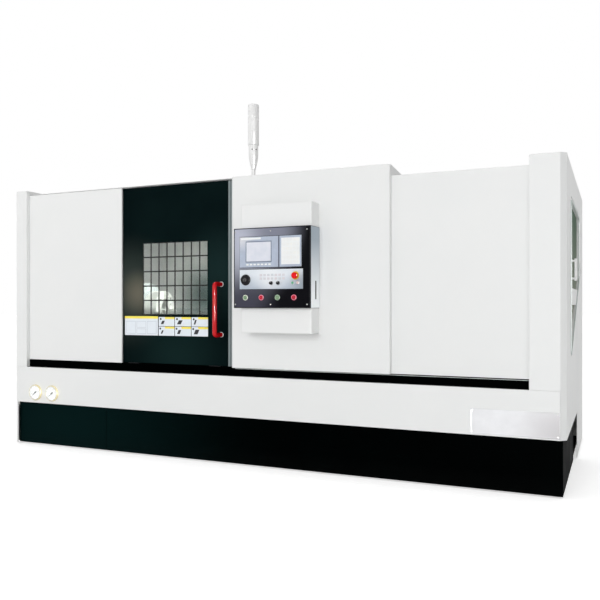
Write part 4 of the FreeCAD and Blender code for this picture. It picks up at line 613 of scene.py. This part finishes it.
def makeDoorCards():
    # bare cards: plain fields with a yellow band and simple marks, no words
    card = {"left": -0.9985, "mid": -0.7125, "start": -0.7065, "low": 0.85, "high": 0.986, "thick": 0.0012,
            "band": 0.017, "smallBand": 0.014, "columns": 3, "rows": 2, "pitch": (0.1362, 0.0672),
            "size": (0.132, 0.064), "dotRadius": 0.0072, "line": 0.0022,
            "fields": ((-0.985, -0.905, 0.862, 0.95), (-0.895, -0.815, 0.905, 0.95),
            (-0.895, -0.815, 0.862, 0.897), (-0.805, -0.725, 0.862, 0.95))}
    (left, mid, start, low, high, thick, band, smallBand, columns, rows, pitch, size, dotRadius, line,
            fields) = card.values()
    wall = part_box("door_panel")[0].y
    front = wall - thick
    width, height = size
    pitchX, pitchZ = pitch

    def printed(name, x0, x1, z0, z1):
        return startBlock(name, (x0, front - 0.0003, z0), (x1, front + 0.0005, z1))

    seatBlock("door_card_large", (left, front, low), (mid, wall, high), 0.0006, "card_white", "sliding_door")
    bands = [printed("band", left, mid, high - band, high)]
    bevelEdges(bands[0], 0.0002)
    small = startBlock("door_cards_small", (start, front, low), (start + width, wall, low + height))
    bevelEdges(small, 0.0006)
    repeatAlong(small, columns, (pitchX, 0, 0))
    repeatAlong(small, rows, (0, 0, pitchZ))
    seat(small, "card_white", "sliding_door")
    marks = []
    for index in range(columns * rows):
        column, row = divmod(index, rows)
        x = start + column * pitchX
        z = low + row * pitchZ
        bands.append(printed("band", x + 0.054, x + width, z + height - smallBand, z + height))
        # a plain slanted bar and a dot, not the same on every card
        lean = 0.006 + 0.004 * ((column + row) % 3)
        bar = printed("mark", x + 0.018, x + 0.018 + lean * 2.2, z + 0.014, z + 0.038 + 0.004 * column)
        editFaces(bar, lambda centre, normal: normal.z > 0.9)
        bpy.ops.transform.translate(value=(0.008 + lean * 0.5, 0, 0))
        closeEdit()
        dot = turnPiece("mark", [(dotRadius, -0.0005), (dotRadius, 0.0003)], 20,
                (x + 0.014 + 0.004 * row, front, z + 0.05))
        marks += [bar, dot]
    # faint empty fields on the large card
    lines = [hollowFrame("field", (x0, front - 0.0002, z0), (x1, front + 0.0005, z1), line)
            for x0, x1, z0, z1 in fields]
    for name, pieces, finish in (("bands", bands, "card_yellow"), ("fields", lines, "card_line"),
            ("marks", marks, "card_mark")):
        seat(joinPieces("door_card_" + name, pieces), finish, "sliding_door")


makeDoorHandle()
makeDoorCards()
print("door dressed")


# front of the covers

def makeNamePlate():
    plate = {"low": (1.4755, 0.33), "high": (1.957, 0.475), "thick": 0.0015, "rivet": 0.004, "inset": 0.01}
    low, high, thick, size, inset = plate.values()
    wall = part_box("lower_apron")[0].y
    front = wall - thick
    x0, z0 = low
    x1, z1 = high
    face = startBlock("bare_plate", (x0, front, z0), (x1, wall, z1))
    sinkFront(face, (0.004, 0), (0.001, 0.0004))
    bevelEdges(face, 0.0004)
    seat(face, "plate_silver")
    spots = [(x, front, z) for x in (x0 + inset, x1 - inset) for z in (z0 + inset, z1 - inset)]
    rivet = [(size, -0.0002), (size * 0.95, 0.0006), (size * 0.7, 0.0012), (size * 0.3, 0.0015)]
    seatScattered("bare_plate_rivets", rivet, 16, spots, 40, "ground_steel")


def makeNumber(text, size, place):
    bpy.ops.object.text_add(location=place, rotation=(math.pi / 2, 0, 0))
    number = bpy.context.object
    number.data.body = text
    number.data.size = size
    number.data.align_x = "CENTER"
    number.data.align_y = "CENTER"
    number.data.extrude = 0.0001
    number.data.resolution_u = 3
    bpy.ops.object.convert(target="MESH")
    applyPlace(number)
    return number


def makeGauges():
    gauge = {"rim": 0.059, "glass": 0.0495, "sides": 56, "start": -130, "sweep": 260, "count": 10,
            "tick": 0.0075, "number": 0.0095}
    rim, well, sides, start, sweep, count, tick, number = gauge.values()
    low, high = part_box("gauge_cases")
    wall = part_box("left_end_cover")[0].y
    z = (low.z + high.z) / 2
    dial = wall - 0.005
    depth = wall - low.y
    outer = well - 0.004
    case = [(0.048, -0.038), (rim - 0.009, -0.036), (rim - 0.009, 0), (rim, 0), (rim, depth * 0.5),
            (rim - 0.0008, depth * 0.72), (rim - 0.004, depth * 0.96), (rim - 0.007, depth), (well, depth),
            (well, 0.005)]
    band = [(rim - 0.002, 0.0005), (rim + 0.0008, 0.0012), (rim + 0.0008, depth * 0.62),
            (rim - 0.003, depth * 0.98), (rim - 0.0055, depth * 1.02), (rim - 0.0058, 0.003)]
    face = [(well - 0.0004, -0.0002), (well - 0.0004, 0.0001), (well - 0.003, 0.0002)]
    lens = [(well - 0.0002, -0.0022), (well - 0.0002, -0.0008), (well - 0.004, 0)]
    halfWidth = (high.z - low.z) / 2
    for side, x in (("left_gauge_", low.x + halfWidth), ("right_gauge_", high.x - halfWidth)):
        seatTurned(side + "case", case, sides, (x, wall, z), 30, "rim_chrome", node="gauge_cases")
        seatTurned(side + "band", band, sides, (x, wall, z), 30, "rim_brass")
        seatTurned(side + "dial", face, sides, (x, dial, z), None, "dial_white")
        marks = []
        for index in range(count * 4 + 1):
            turn = math.radians(start + sweep * index / (count * 4))
            length, half = (tick * 0.5, 0.0003) if index % 4 else (tick, 0.0006)
            place = around(x, dial - 0.0003, z, turn, outer - length / 2)
            marks.append(makeTick(place, turn, (2 * half, 0.0003, length)))
            if index % 8 == 0:
                place = around(x, dial - 0.0004, z, turn, outer - tick - 0.0075)
                marks.append(makeNumber(str(index // 4), number, place))
        seat(joinPieces(side + "marks", marks), "card_mark")
        seatTurned(side + "lens", lens, sides, (x, low.y + 0.001, z), 30, "lens_glass")


def makeSignalTower():
    tower = {"neck": 0.0135, "tube": 0.0385, "coneLow": 2.024, "collarLow": 2.126, "tubeLow": 2.185}
    neck, tube, coneLow, collarLow, tubeLow = tower.values()
    low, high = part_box("signal_tower")
    middle = (low + high) / 2
    rings = [(neck, low.z - 0.001), (neck, coneLow - 0.012), (neck + 0.004, coneLow - 0.01),
            (neck + 0.004, coneLow)]
    for step in range(1, 6):
        share = step / 5
        bow = math.sin(share * math.pi / 2)
        rings.append((neck + 0.004 + (tube - 0.005 - neck - 0.004) * bow,
                coneLow + (collarLow - coneLow) * share))
    rings += [(tube - 0.005, tubeLow - 0.003), (tube - 0.001, tubeLow), (tube, tubeLow + 0.002)]
    for index in (1, 2):
        seam = tubeLow + (high.z - tubeLow) / 3 * index
        rings += [(tube, seam - 0.0015), (tube - 0.0012, seam - 0.0008), (tube - 0.0012, seam + 0.0008),
                (tube, seam + 0.0015)]
    rings += [(tube, high.z - 0.006), (tube - 0.002, high.z - 0.0018), (tube - 0.006, high.z)]
    seatTurned("signal_tower_body", rings, 48, (middle.x, middle.y, 0), 30, "white_plastic",
            node="signal_tower", facing="up")
    base = [(0.034, 0), (0.034, 0.004), (0.03, 0.007), (0.019, 0.008), (0.016, 0.02), (0.0142, 0.021)]
    seatTurned("signal_tower_base", base, 40, (middle.x, middle.y, low.z - 0.002), 30, "white_plastic",
            facing="up")
    # two small screws on the collar
    level = (collarLow + tubeLow) / 2 - 0.004
    head = [(0.0042, -0.006), (0.0042, 0.0004), (0.0034, 0.0014), (0.0016, 0.0014), (0.0014, 0.0004)]
    for name, turn in (("signal_tower_screw_left", 11.5), ("signal_tower_screw_right", 60)):
        screw = turnPiece(name, head, 16, (0, -(tube - 0.0046), level))
        screw.rotation_euler = (0, 0, math.radians(turn))
        screw.location = (middle.x, middle.y, 0)
        applyPlace(screw)
        smooth(screw, 35)
        seat(screw, "black_plastic")


def makeSlotLip():
    # pale rubber lip on the slot's guard, under the panels' lower edge
    lip = {"low": 0.6402, "high": 0.6434, "back": 0.0003, "front": 0.0022, "end": 0.004}
    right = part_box("slot_channel")[1].x - lip["end"]
    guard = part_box("door_panel")[0].y - 0.012
    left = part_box("middle_front_cover")[0].x
    front = guard - lip["front"]
    seatBlock("slot_lip", (left, front, lip["low"]), (right, guard + lip["back"], lip["high"]), 0.0005,
            "gasket")


def makeSidePaneTrim():
    # raised trim round the side door's pane, swept along its rounded outline
    trim = {"near": 0.392, "far": 1.4, "nearLow": 0.712, "farLow": 1.215, "high": 1.722, "inset": 0.024,
            "corner": 0.046, "width": 0.009, "rise": 0.0075}
    near, far, nearLow, farLow, high, inset, corner, width, rise = trim.values()
    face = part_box("end_window")[1].x + 0.012
    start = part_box("right_end_cover")[0].y
    lean = (farLow - nearLow) / (far - near)
    front = near + inset
    rear = far - inset
    top = high - inset

    def lowEdge(depth):
        return nearLow + lean * (depth - near) + inset * math.hypot(1, lean)

    clearSelection()
    corners = ((front, lowEdge(front)), (front, top), (rear, top), (rear, lowEdge(rear)))
    bpy.ops.mesh.primitive_plane_add(size=1)
    ring = rename(bpy.context.object, "side_pane_trim")
    openFaces()
    mesh = bmesh.from_edit_mesh(ring.data)
    for vertex, (depth, height) in zip(mesh.faces[:][0].verts, corners):
        vertex.co = (face, start + depth, height)
    bmesh.update_edit_mesh(ring.data)
    bpy.ops.mesh.bevel(offset=corner, segments=6, affect="VERTICES")
    selectAll()
    bpy.ops.mesh.normals_make_consistent(inside=False)
    bpy.ops.mesh.inset(thickness=width)
    bpy.ops.mesh.delete(type="FACE")
    selectAll()
    extrude(rise, 0, 0)
    closeShape()
    bevelEdges(ring, 0.0012, 2)
    smooth(ring, 40)
    seat(ring, "gasket", "side_door")


def makeShadeTray():
    # shallow black tray on the floor, behind the base, that stands as painted shade under the machine
    tray = {"low": (-1.85, 0.1405, 0), "high": (1.962, 1.01, 0.028), "wall": 0.003, "floor": 0.004}
    body = startBlock("shade_tray", tray["low"], tray["high"])
    editFaces(body, lambda centre, normal: normal.z > 0.9)
    bpy.ops.mesh.inset(thickness=tray["wall"])
    extrude(0, 0, tray["floor"] - tray["high"][2])
    closeEdit()
    bevelEdges(body, 0.0006)
    seat(body, "black_paint")


def makeRearScrews():
    # button heads along the rear cover's upper and lower edges
    row = {"start": -1.8, "step": 0.45, "count": 9, "levels": (0.06, 1.79), "radius": 0.0075,
            "height": 0.0035}
    start, step, count, levels, radius, height = row.values()
    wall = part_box("left_end_cover")[1].y
    spots = [(start + step * index, wall, level) for level in levels for index in range(count)]
    head = [(radius, -0.0008), (radius, 0.0004), (radius * 0.85, height * 0.75), (radius * 0.6, height),
            (radius * 0.4, height), (radius * 0.38, height * 0.4)]
    seatScattered("rear_cover_screws", head, 20, spots, 35, "ground_steel", facing="back")


makeNamePlate()
makeGauges()
makeSignalTower()
makeSlotLip()
makeSidePaneTrim()
makeShadeTray()
makeRearScrews()
print("covers dressed")


# console

unitLow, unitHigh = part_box("control_unit")
panelLow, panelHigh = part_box("operator_panel")
housingLow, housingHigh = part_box("console_housing")
keyRise = 0.0015
unitFace = unitLow.y + keyRise
panelFace = panelLow.y + keyRise
stem = [(0.005, -0.0117), (0.005, 0)]


def makeScreen():
    screen = {"left": 0.042, "low": 0.031, "width": 0.184, "height": 0.134, "border": 0.006, "depth": 0.002}
    left, low, width, height, border, depth = screen.values()
    x0 = unitLow.x + left
    z0 = unitLow.z + low
    x1 = x0 + width
    z1 = z0 + height
    floor = unitFace + depth
    bezel = startBlock("screen_bezel", (x0 + 0.0003, floor - 0.0012, z0 + 0.0003),
            (x1 - 0.0003, floor, z1 - 0.0003))
    sinkFront(bezel, (border, 0), (0.0008, 0.0006))
    seat(bezel, "bezel_blue")
    rim = border + 0.0008
    seatBlock("screen_face", (x0 + rim, floor - 0.0009, z0 + rim), (x1 - rim, floor - 0.0004, z1 - rim),
            0.0002, "screen_face")
    # bare pale strip along the unit's top
    seatBlock("unit_top_strip", (unitLow.x + 0.01, unitFace - 0.0005, unitHigh.z - 0.017),
            (unitLow.x + 0.15, unitFace + 0.0003, unitHigh.z - 0.005), 0.0002, "keypad_white")


def makeKeypadField():
    # pale field behind the keypad's keys, and the dark line beside it
    field = {"left": 0.292, "right": 0.418, "low": 0.014, "high": 0.179, "divider": (0.2715, 0.2785)}
    seatBlock("keypad_field", (unitLow.x + field["left"], unitFace - 0.0005, unitLow.z + field["low"]),
            (unitLow.x + field["right"], unitFace + 0.0002, unitLow.z + field["high"]), 0.0002,
            "keypad_white")
    x0, x1 = field["divider"]
    seatBlock("unit_divider", (unitLow.x + x0, unitFace + 0.0003, unitLow.z + 0.0005),
            (unitLow.x + x1, unitFace + 0.0021, unitHigh.z - 0.0005), 0.0002, "unit_blue")


def makeHousingSide():
    # brushed plate on the housing's right side, with the slot left open
    side = {"front": 0.009, "back": -0.9285, "thick": 0.0012, "edge": 0.002, "start": (-0.9975, 1.1008),
            "end": (-0.976, 1.2152)}
    face = housingHigh.x
    slotFront, slotLow = side["start"]
    slotBack, slotTop = side["end"]
    plate = startBlock("housing_side_plate", (face - 0.0002, housingLow.y + side["front"],
            housingLow.z + side["edge"]), (face + side["thick"], side["back"], housingHigh.z - side["edge"]))
    cutAway(plate, startBlock("slot_cutter", (face - 0.01, slotFront, slotLow),
            (face + 0.01, slotBack, slotTop)))
    bevelEdges(plate, 0.0004)
    seat(plate, "console_side")
    seatBlock("housing_slot_shade", (face - 0.0033, slotFront + 0.0001, slotLow + 0.0001),
            (face + 0.0003, slotBack - 0.0001, slotTop - 0.0001), 0.0002, "black_plastic")


def makeUnitRims():
    # dark rim round each unit's face, painted shade in the gap round it
    rim = {"width": 0.0028, "rise": 0.0012}
    width = rim["width"]
    face = housingLow.y
    for name, low, high in (("control_unit_shade_rim", unitLow, unitHigh),
            ("operator_panel_shade_rim", panelLow, panelHigh)):
        shadeRim = hollowFrame(name, (low.x - width, face - rim["rise"], low.z - width),
                (high.x + width, face, high.z + width), width - 0.0002)
        seat(shadeRim, "black_plastic")


def makeHousingRim():
    # narrow black rim round the housing's front
    rim = {"width": 0.0052, "rise": 0.0014, "edge": 0.0004}
    edge = rim["edge"]
    ring = hollowFrame("housing_rim", (housingLow.x + edge, housingLow.y - rim["rise"], housingLow.z + edge),
            (housingHigh.x - edge, housingLow.y + 0.0003, housingHigh.z - edge), rim["width"])
    bevelEdges(ring, 0.0004)
    seat(ring, "black_plastic")


def makeKeys():
    # one cap of each field is modelled, then set out in columns and rows
    fields = {
        "soft_keys": {"corner": (unitLow.x + 0.048, unitFace, unitLow.z + 0.013), "size": (0.016, 0.009),
            "count": (7, 1), "pitch": (0.026, 0), "finish": "key_cream"},
        "keypad_keys": {"corner": (unitLow.x + 0.3, unitFace, unitLow.z + 0.022), "size": (0.017, 0.017),
            "count": (5, 6), "pitch": (0.025, 0.027), "finish": "key_cream"},
        "operator_keys": {"corner": (panelLow.x + 0.143, panelFace, panelLow.z + 0.058),
            "size": (0.017, 0.014), "count": (7, 2), "pitch": (0.026, 0.022), "finish": "key_blue"},
    }
    grow = 0.0003
    for name, keys in fields.items():
        x, face, z = keys["corner"]
        width, height = keys["size"]
        corner = (x + width + grow, face, z + height + grow)
        cap = startBlock(name, (x - grow, face - 0.0021, z - grow), corner)
        bevelEdges(cap, 0.0006, 2)
        sinkFront(cap, (0.0018, 0.0004))
        repeatAlong(cap, keys["count"][0], (keys["pitch"][0], 0, 0))
        repeatAlong(cap, keys["count"][1], (0, 0, keys["pitch"][1]))
        smooth(cap, 30)
        seat(cap, keys["finish"])


def makeHandwheel():
    wheel = {"radius": 0.031, "thick": 0.016, "crank": 0.0052, "crankOut": 0.55, "tickCount": 20}
    radius, thick, crank, crankOut, tickCount = wheel.values()
    middle = middleOf("handwheel")
    face = panelFace - 0.0003
    grip = turnPiece("handwheel_dial", stem + [(radius, 0), (radius, 0.004), (radius - 0.0022, 0.0052),
            (radius - 0.0022, thick - 0.0022), (radius - 0.004, thick), (radius - 0.01, thick),
            (radius - 0.012, thick - 0.0016), (0.01, thick - 0.0016), (0.009, thick - 0.0002),
            (0.003, thick)], 48, (middle.x, face, middle.z))
    knurl(grip, 0.0005, 0.0005, lambda centre: face - thick + 0.003 < centre.y < face - 0.0055)
    smooth(grip, 30)
    seat(grip, "black_plastic", "handwheel_knob", "handwheel")
    seatTurned("handwheel_crank", [(0.003, -0.0025), (0.003, 0.0005), (crank, 0.001), (crank, 0.011),
            (crank * 0.86, 0.0145), (crank * 0.45, 0.0158)], 28,
            (middle.x - radius * crankOut, face - thick, middle.z + 0.004), 40, "black_plastic",
            "handwheel_knob")
    seatTurned("handwheel_hub", [(0.0125, -0.002), (0.0125, 0.0008), (0.011, 0.002), (0.007, 0.0022),
            (0.0066, 0.0014)], 32, (middle.x, face - thick, middle.z), 35, "dark_steel", "handwheel_knob")
    seatTurned("handwheel_scale", [(0.035, 0), (0.035, 0.0001), (0.0346, 0.00025), (0.0318, 0.00025)], 48,
            (middle.x, panelFace, middle.z), None, "black_plastic")
    ticks = []
    for index in range(tickCount):
        turn = 2 * math.pi * index / tickCount
        place = around(middle.x, panelFace - 0.00028, middle.z, turn, 0.0333)
        ticks.append(makeTick(place, turn, (0.0006, 0.0001, 0.0022 if index % 5 else 0.0028)))
    seat(joinPieces("handwheel_ticks", ticks), "white_plastic")


def makeStopButton():
    stop = {"radius": 0.02, "plate": 0.0262, "rise": 0.0017, "stand": 0.0068}
    radius, plate, rise, stand = stop.values()
    middle = middleOf("emergency_stop")
    seatTurned("stop_mushroom", [(0.005, -0.017), (0.005, 0), (radius - 0.003, 0), (radius, 0.003),
            (radius, 0.0115), (radius - 0.0012, 0.0145), (radius - 0.004, 0.0165), (radius - 0.009, 0.0176),
            (0.004, 0.018)], 44, (middle.x, panelFace - stand, middle.z), 50, "red_plastic", "stop_button",
            "emergency_stop")
    seatTurned("stop_plate", [(plate, 0), (plate, 0.0013), (plate - 0.0005, rise), (0.012, rise)], 44,
            (middle.x, panelFace, middle.z), None, "stop_yellow")


def makeKnobs():
    knob = {"radius": 0.011, "height": 0.015, "tickCount": 11, "tickRing": 0.0142}
    radius, height, tickCount, tickRing = knob.values()
    face = panelFace - 0.0003
    for node, body in (("feed_knob", "feed_dial"), ("speed_knob", "speed_dial")):
        low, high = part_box(node)
        x = (low.x + high.x) / 2
        z = low.z + (high.x - low.x) / 2
        grip = turnPiece(node + "_grip", stem + [(radius, 0), (radius, 0.0022), (radius - 0.0015, 0.0034),
                (radius - 0.0018, height - 0.001), (radius - 0.003, height), (0.002, height)], 36,
                (x, face, z))
        knurl(grip, 0.0002, 0.0004, lambda centre: centre.y < face - 0.004)
        smooth(grip, 30)
        seat(grip, "black_plastic", body, node)
        seatBlock(node + "_line", (x - 0.0007, face - height - 0.0004, z + 0.001),
                (x + 0.0007, face - height + 0.0004, z + radius - 0.003), 0.0002, "white_plastic", body)
        ticks = []
        for index in range(tickCount):
            turn = math.radians(-135 + 27 * index)
            place = around(x, panelFace - 0.0001, z, turn, tickRing)
            ticks.append(makeTick(place, turn, (0.0007, 0.0003, 0.003)))
        seat(joinPieces(node + "_ticks", ticks), "card_mark")


def makePowerButtons():
    small = {"radius": 0.008, "bezel": 0.0104, "stand": 0.0033}
    radius, bezel, stand = small.values()
    for body, finish in (("power_on", "green_plastic"), ("power_off", "pink_plastic")):
        node = body + "_button"
        middle = middleOf(node)
        seatTurned(node + "_cap", stem + [(radius, 0), (radius, 0.0028), (radius - 0.0008, 0.0038),
                (0.003, 0.0041)], 36, (middle.x, panelFace - stand, middle.z), 40, finish, body, node)
        seatTurned(node + "_bezel", [(bezel, 0), (bezel, 0.0022), (bezel - 0.0006, 0.0028), (0.0088, 0.0028),
                (0.0086, 0.0002)], 36, (middle.x, panelFace, middle.z), 30, "ground_steel")


def makePushButtons():
    button = {"radius": 0.0125, "ring": 0.0172, "colours": (("cap_green", "ring_pale"),
            ("cap_red", "ring_pink"), ("cap_green", "ring_green"), ("cap_red", "ring_pink"))}
    radius, ring, colours = button.values()
    for index, (finish, ringFinish) in enumerate(colours, 1):
        node = "push_button_" + str(index)
        low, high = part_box(node)
        middle = (low + high) / 2
        depth = high.y - low.y
        seatTurned(node + "_cap", [(radius, 0), (radius, depth - 0.0022), (radius - 0.0006, depth - 0.0008),
                (radius - 0.0022, depth - 0.0002), (radius - 0.0035, depth),
                (radius - 0.0042, depth - 0.0007), (0.004, depth - 0.0002)], 40,
                (middle.x, high.y, middle.z), 40, finish, "button_" + str(index), node)
        seatTurned(node + "_ring", [(ring, 0), (ring, 0.003), (ring - 0.0012, 0.0046), (0.0142, 0.0052),
                (0.0132, 0.0048), (0.01285, 0.0036), (0.01285, 0)], 40, (middle.x, housingLow.y, middle.z),
                40, ringFinish)


def makeHousingScrews():
    screw = {"radius": 0.0042, "height": 0.0022, "inset": 0.023}
    radius, height, inset = screw.values()
    columns = (housingLow.x + 0.01, (housingLow.x + housingHigh.x) / 2 - 0.005, housingHigh.x - inset)
    spots = [(x, housingLow.y, z) for z in (housingLow.z + inset, housingHigh.z - inset) for x in columns]
    head = [(radius, 0), (radius, height * 0.5), (radius * 0.8, height), (radius * 0.46, height),
            (radius * 0.44, height * 0.4)]
    seatScattered("housing_screws", head, 18, spots, 35, "ground_steel")


makeScreen()
makeKeypadField()
makeHousingSide()
makeUnitRims()
makeHousingRim()
makeKeys()
makeHandwheel()
makeStopButton()
makeKnobs()
makePowerButtons()
makePushButtons()
makeHousingScrews()
print("console dressed")


# inside of the machine

def makeQuillAndCentre():
    centre = {"sides": 48, "radius": 0.03, "cone": 0.052, "gap": 0.0003}
    sides, radius, cone, gap = centre.values()
    low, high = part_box("quill")
    middle = (low + high) / 2
    sleeve = (high.y - low.y) / 2
    length = high.x - low.x
    seatTurned("quill_sleeve", [(sleeve - 0.002, 0), (sleeve, 0.002), (sleeve, length - 0.004),
            (sleeve - 0.004, length), (0.0225, length), (0.0203, length - 0.02)], sides,
            (high.x, middle.y, middle.z), 30, "ground_steel", "tailstock_quill", "quill", "left")
    bodyEnd = low.x - gap
    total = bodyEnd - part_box("live_centre")[0].x
    seatTurned("live_centre_body", [(0.02, -0.019), (0.02, 0), (radius - 0.001, 0), (radius, 0.001),
            (radius, 0.012), (radius - 0.0012, 0.013), (radius - 0.0012, 0.015), (radius, 0.016),
            (radius, total - cone), (0.0006, total)], sides, (bodyEnd, middle.y, middle.z), 30,
            "ground_steel", "rotating_centre", "live_centre", "left")


def makeChuck():
    chuck = {"back": -1.1075, "face": -0.9975, "radius": 0.125, "bore": 0.042, "slot": 0.0203,
            "slotIn": 0.034, "slotDeep": 0.0302, "foot": 0.0263, "footHigh": 0.0122, "sides": 96,
            "screw": 0.0062, "screws": ((0.08, -0.02), (0.08, 0.02), (0.108, 0))}
    back, face, radius, bore, slot, slotIn, slotDeep, foot, footHigh, sides, size, screws = chuck.values()
    middle = middleOf("chuck_body")
    y = middle.y
    z = middle.z
    length = face - back
    body = turnPiece("chuck_shell", [(radius - 0.003, 0), (radius, 0.003), (radius, 0.022),
            (radius - 0.0015, 0.0235), (radius - 0.0015, 0.0265), (radius, 0.028), (radius, length - 0.004),
            (radius - 0.004, length), (0.098, length), (0.0975, length - 0.0006), (0.096, length - 0.0006),
            (0.0955, length), (0.06, length), (0.058, length - 0.003), (bore + 0.002, length - 0.003),
            (bore, length - 0.005), (bore - 0.0005, 0.004)], sides, (back, y, z), "right")
    for turn in (0, 120, 240):
        low = face - slotDeep
        for half, high in ((slot, face + 0.01), (foot, low + footHigh)):
            cutter = startBlock("slot_cutter", (low, y - half, z + slotIn),
                    (high, y + half, z + radius + 0.01))
            bpy.ops.transform.rotate(value=math.radians(turn), orient_axis="X", center_override=(0, y, z))
            applyPlace(cutter)
            cutAway(body, cutter)
    bevelEdges(body, 0.0006, 1, 50)
    smooth(body, 30)
    seat(body, "chuck_steel", "main_spindle", "chuck_body")
    spots = []
    for turn in (60, 180, 300):
        across = math.radians(turn)
        for radial, side in screws:
            spots.append((face, y + radial * math.sin(across) + side * math.cos(across),
                    z + radial * math.cos(across) - side * math.sin(across)))
    screw = [(size, -0.001), (size, 0.0008), (size - 0.0006, 0.0014), (size * 0.58, 0.0014),
            (size * 0.55, -0.0002)]
    seatScattered("chuck_screws", screw, 20, spots, 35, "dark_steel", "main_spindle", "right")


def makeJawScrews():
    # two sunk screws in each jaw, standing in for the ones that hold the hard jaw to its foot
    jaw = {"face": -0.9975, "places": ((0.099, 0.025), (0.068, 0.05)), "size": 0.0075}
    middle = middleOf("chuck_body")
    size = jaw["size"]
    rings = [(size, -0.001), (size, 0.0006), (size - 0.0008, 0.0012), (size * 0.6, 0.0012),
            (size * 0.56, -0.0004)]
    for index in ("1", "2", "3"):
        place = middleOf("jaw_" + index)
        turn = math.atan2(place.y - middle.y, place.z - middle.z)
        heads = [turnPiece("head", rings, 20, (jaw["face"] + rise, middle.y + radial * math.sin(turn),
                middle.z + radial * math.cos(turn)), "right") for radial, rise in jaw["places"]]
        heads = joinPieces("jaw_" + index + "_screws", heads)
        smooth(heads, 35)
        seat(heads, "dark_steel", "chuck_jaw_" + index)


def addLight(name, place, energy, size, height=None, target=None):
    bpy.ops.object.light_add(type="AREA", location=place)
    light = bpy.context.object
    light.name = name
    light.data.energy = energy
    light.data.size = size
    if height:
        light.data.shape = "RECTANGLE"
        light.data.size_y = height
    if target:
        light.rotation_euler = (Vector(target) - light.location).to_track_quat("-Z", "Y").to_euler()
    return light


def makeWorkLamp():
    # lamp bar under the roof, over the chuck
    lamp = {"corner": (-0.93, -0.6), "span": (0.7, 0.06), "top": 1.8725, "thick": 0.028, "power": 48}
    corner, span, top, thick, power = lamp.values()
    x0, y0 = corner
    x1 = x0 + span[0]
    y1 = y0 + span[1]
    under = top - thick
    body = ((x0, y0, under), (x1, y1, top))
    diffuser = ((x0 + 0.02, y0 + 0.008, under - 0.004), (x1 - 0.02, y1 - 0.008, under + 0.002))
    for name, corners, bevel, finish in (("work_lamp_body", body, 0.004, "grey_profile"),
            ("work_lamp_diffuser", diffuser, 0.003, "lamp_diffuser")):
        bar = startBlock(name, *corners)
        bevelEdges(bar, bevel, 3)
        smooth(bar, 30)
        seat(bar, finish)
    middle = ((x0 + x1) / 2, (y0 + y1) / 2, top - 0.045)
    light = addLight("inside_light", middle, power, span[0], 0.1)
    light.data.color = (1, 0.99, 0.95)


makeQuillAndCentre()
makeChuck()
makeJawScrews()
makeWorkLamp()
print("inside dressed")


# floor, light and camera

def makeStage():
    stage = {"pale": (0.86, 0.86, 0.86), "glow": 0.52, "studio": 0.6, "key": 520, "fill": 52, "glint": 2200}
    pale, glow, studio, key, fill, glint = stage.values()
    clearSelection()
    bpy.ops.mesh.primitive_plane_add(size=120, location=(0, 20, 0))
    floor = rename(bpy.context.object, "floor")
    applyPlace(floor)
    material, tree, shader = newMaterial("pale floor")
    skin = addNode(tree, "Group", {"Peel Scale": 60, "Patch Scale": 0.4}, node_tree=paintSkin)
    tone = mixColours(tree, skin["Patch"], pale, tuple(c * 0.99 for c in pale))
    lift = calculate(tree, "MULTIPLY", seenDirectly(tree), glow)
    for label, value in (("Base Color", tone), ("Roughness", 0.9), ("Specular IOR Level", 0.1),
            ("Emission Color", (1, 1, 1)), ("Emission Strength", lift)):
        feed(tree, shader[label], value)
    floor.data.materials.append(material)

    world = bpy.data.worlds.new("studio")
    bpy.context.scene.world = world
    world.use_nodes = True
    tree = world.node_tree
    back = tree.nodes["Background"].inputs
    feed(tree, back["Color"], (1, 1, 1))
    feed(tree, back["Strength"], mapValue(tree, seenDirectly(tree), 0, 1, studio, 1))

    for light in (addLight("key_light", (0.5, -13.5, 4.4), key, 5, target=(0, -0.9, 1)),
            addLight("fill_light", (-4, -6, 4.2), fill, 4, target=(-0.2, -0.9, 1))):
        light.visible_glossy = False
    # a narrow strip, lower than the roof, that only shows as a glint on glossy pieces
    strip = addLight("glint_strip", (5.6, -7.2, 1.2), glint, 0.5, 1.4, (-0.2, -0.9, 1.1))
    strip.visible_diffuse = False


def makeCamera():
    camera = {"place": (2.2355, -5.02135, 1.062), "turn": 24.035, "lens": 42.456, "shift": 0.0092}
    bpy.ops.object.camera_add(location=camera["place"],
            rotation=(math.pi / 2, 0, math.radians(camera["turn"])))
    view = bpy.context.object
    view.data.lens = camera["lens"]
    view.data.sensor_width = 36
    view.data.shift_y = camera["shift"]
    view.data.clip_end = 300
    bpy.context.scene.camera = view


makeStage()
makeCamera()
bpy.context.scene.view_settings.view_transform = "Standard"
print("stage, light and camera ready")

clearSelection()
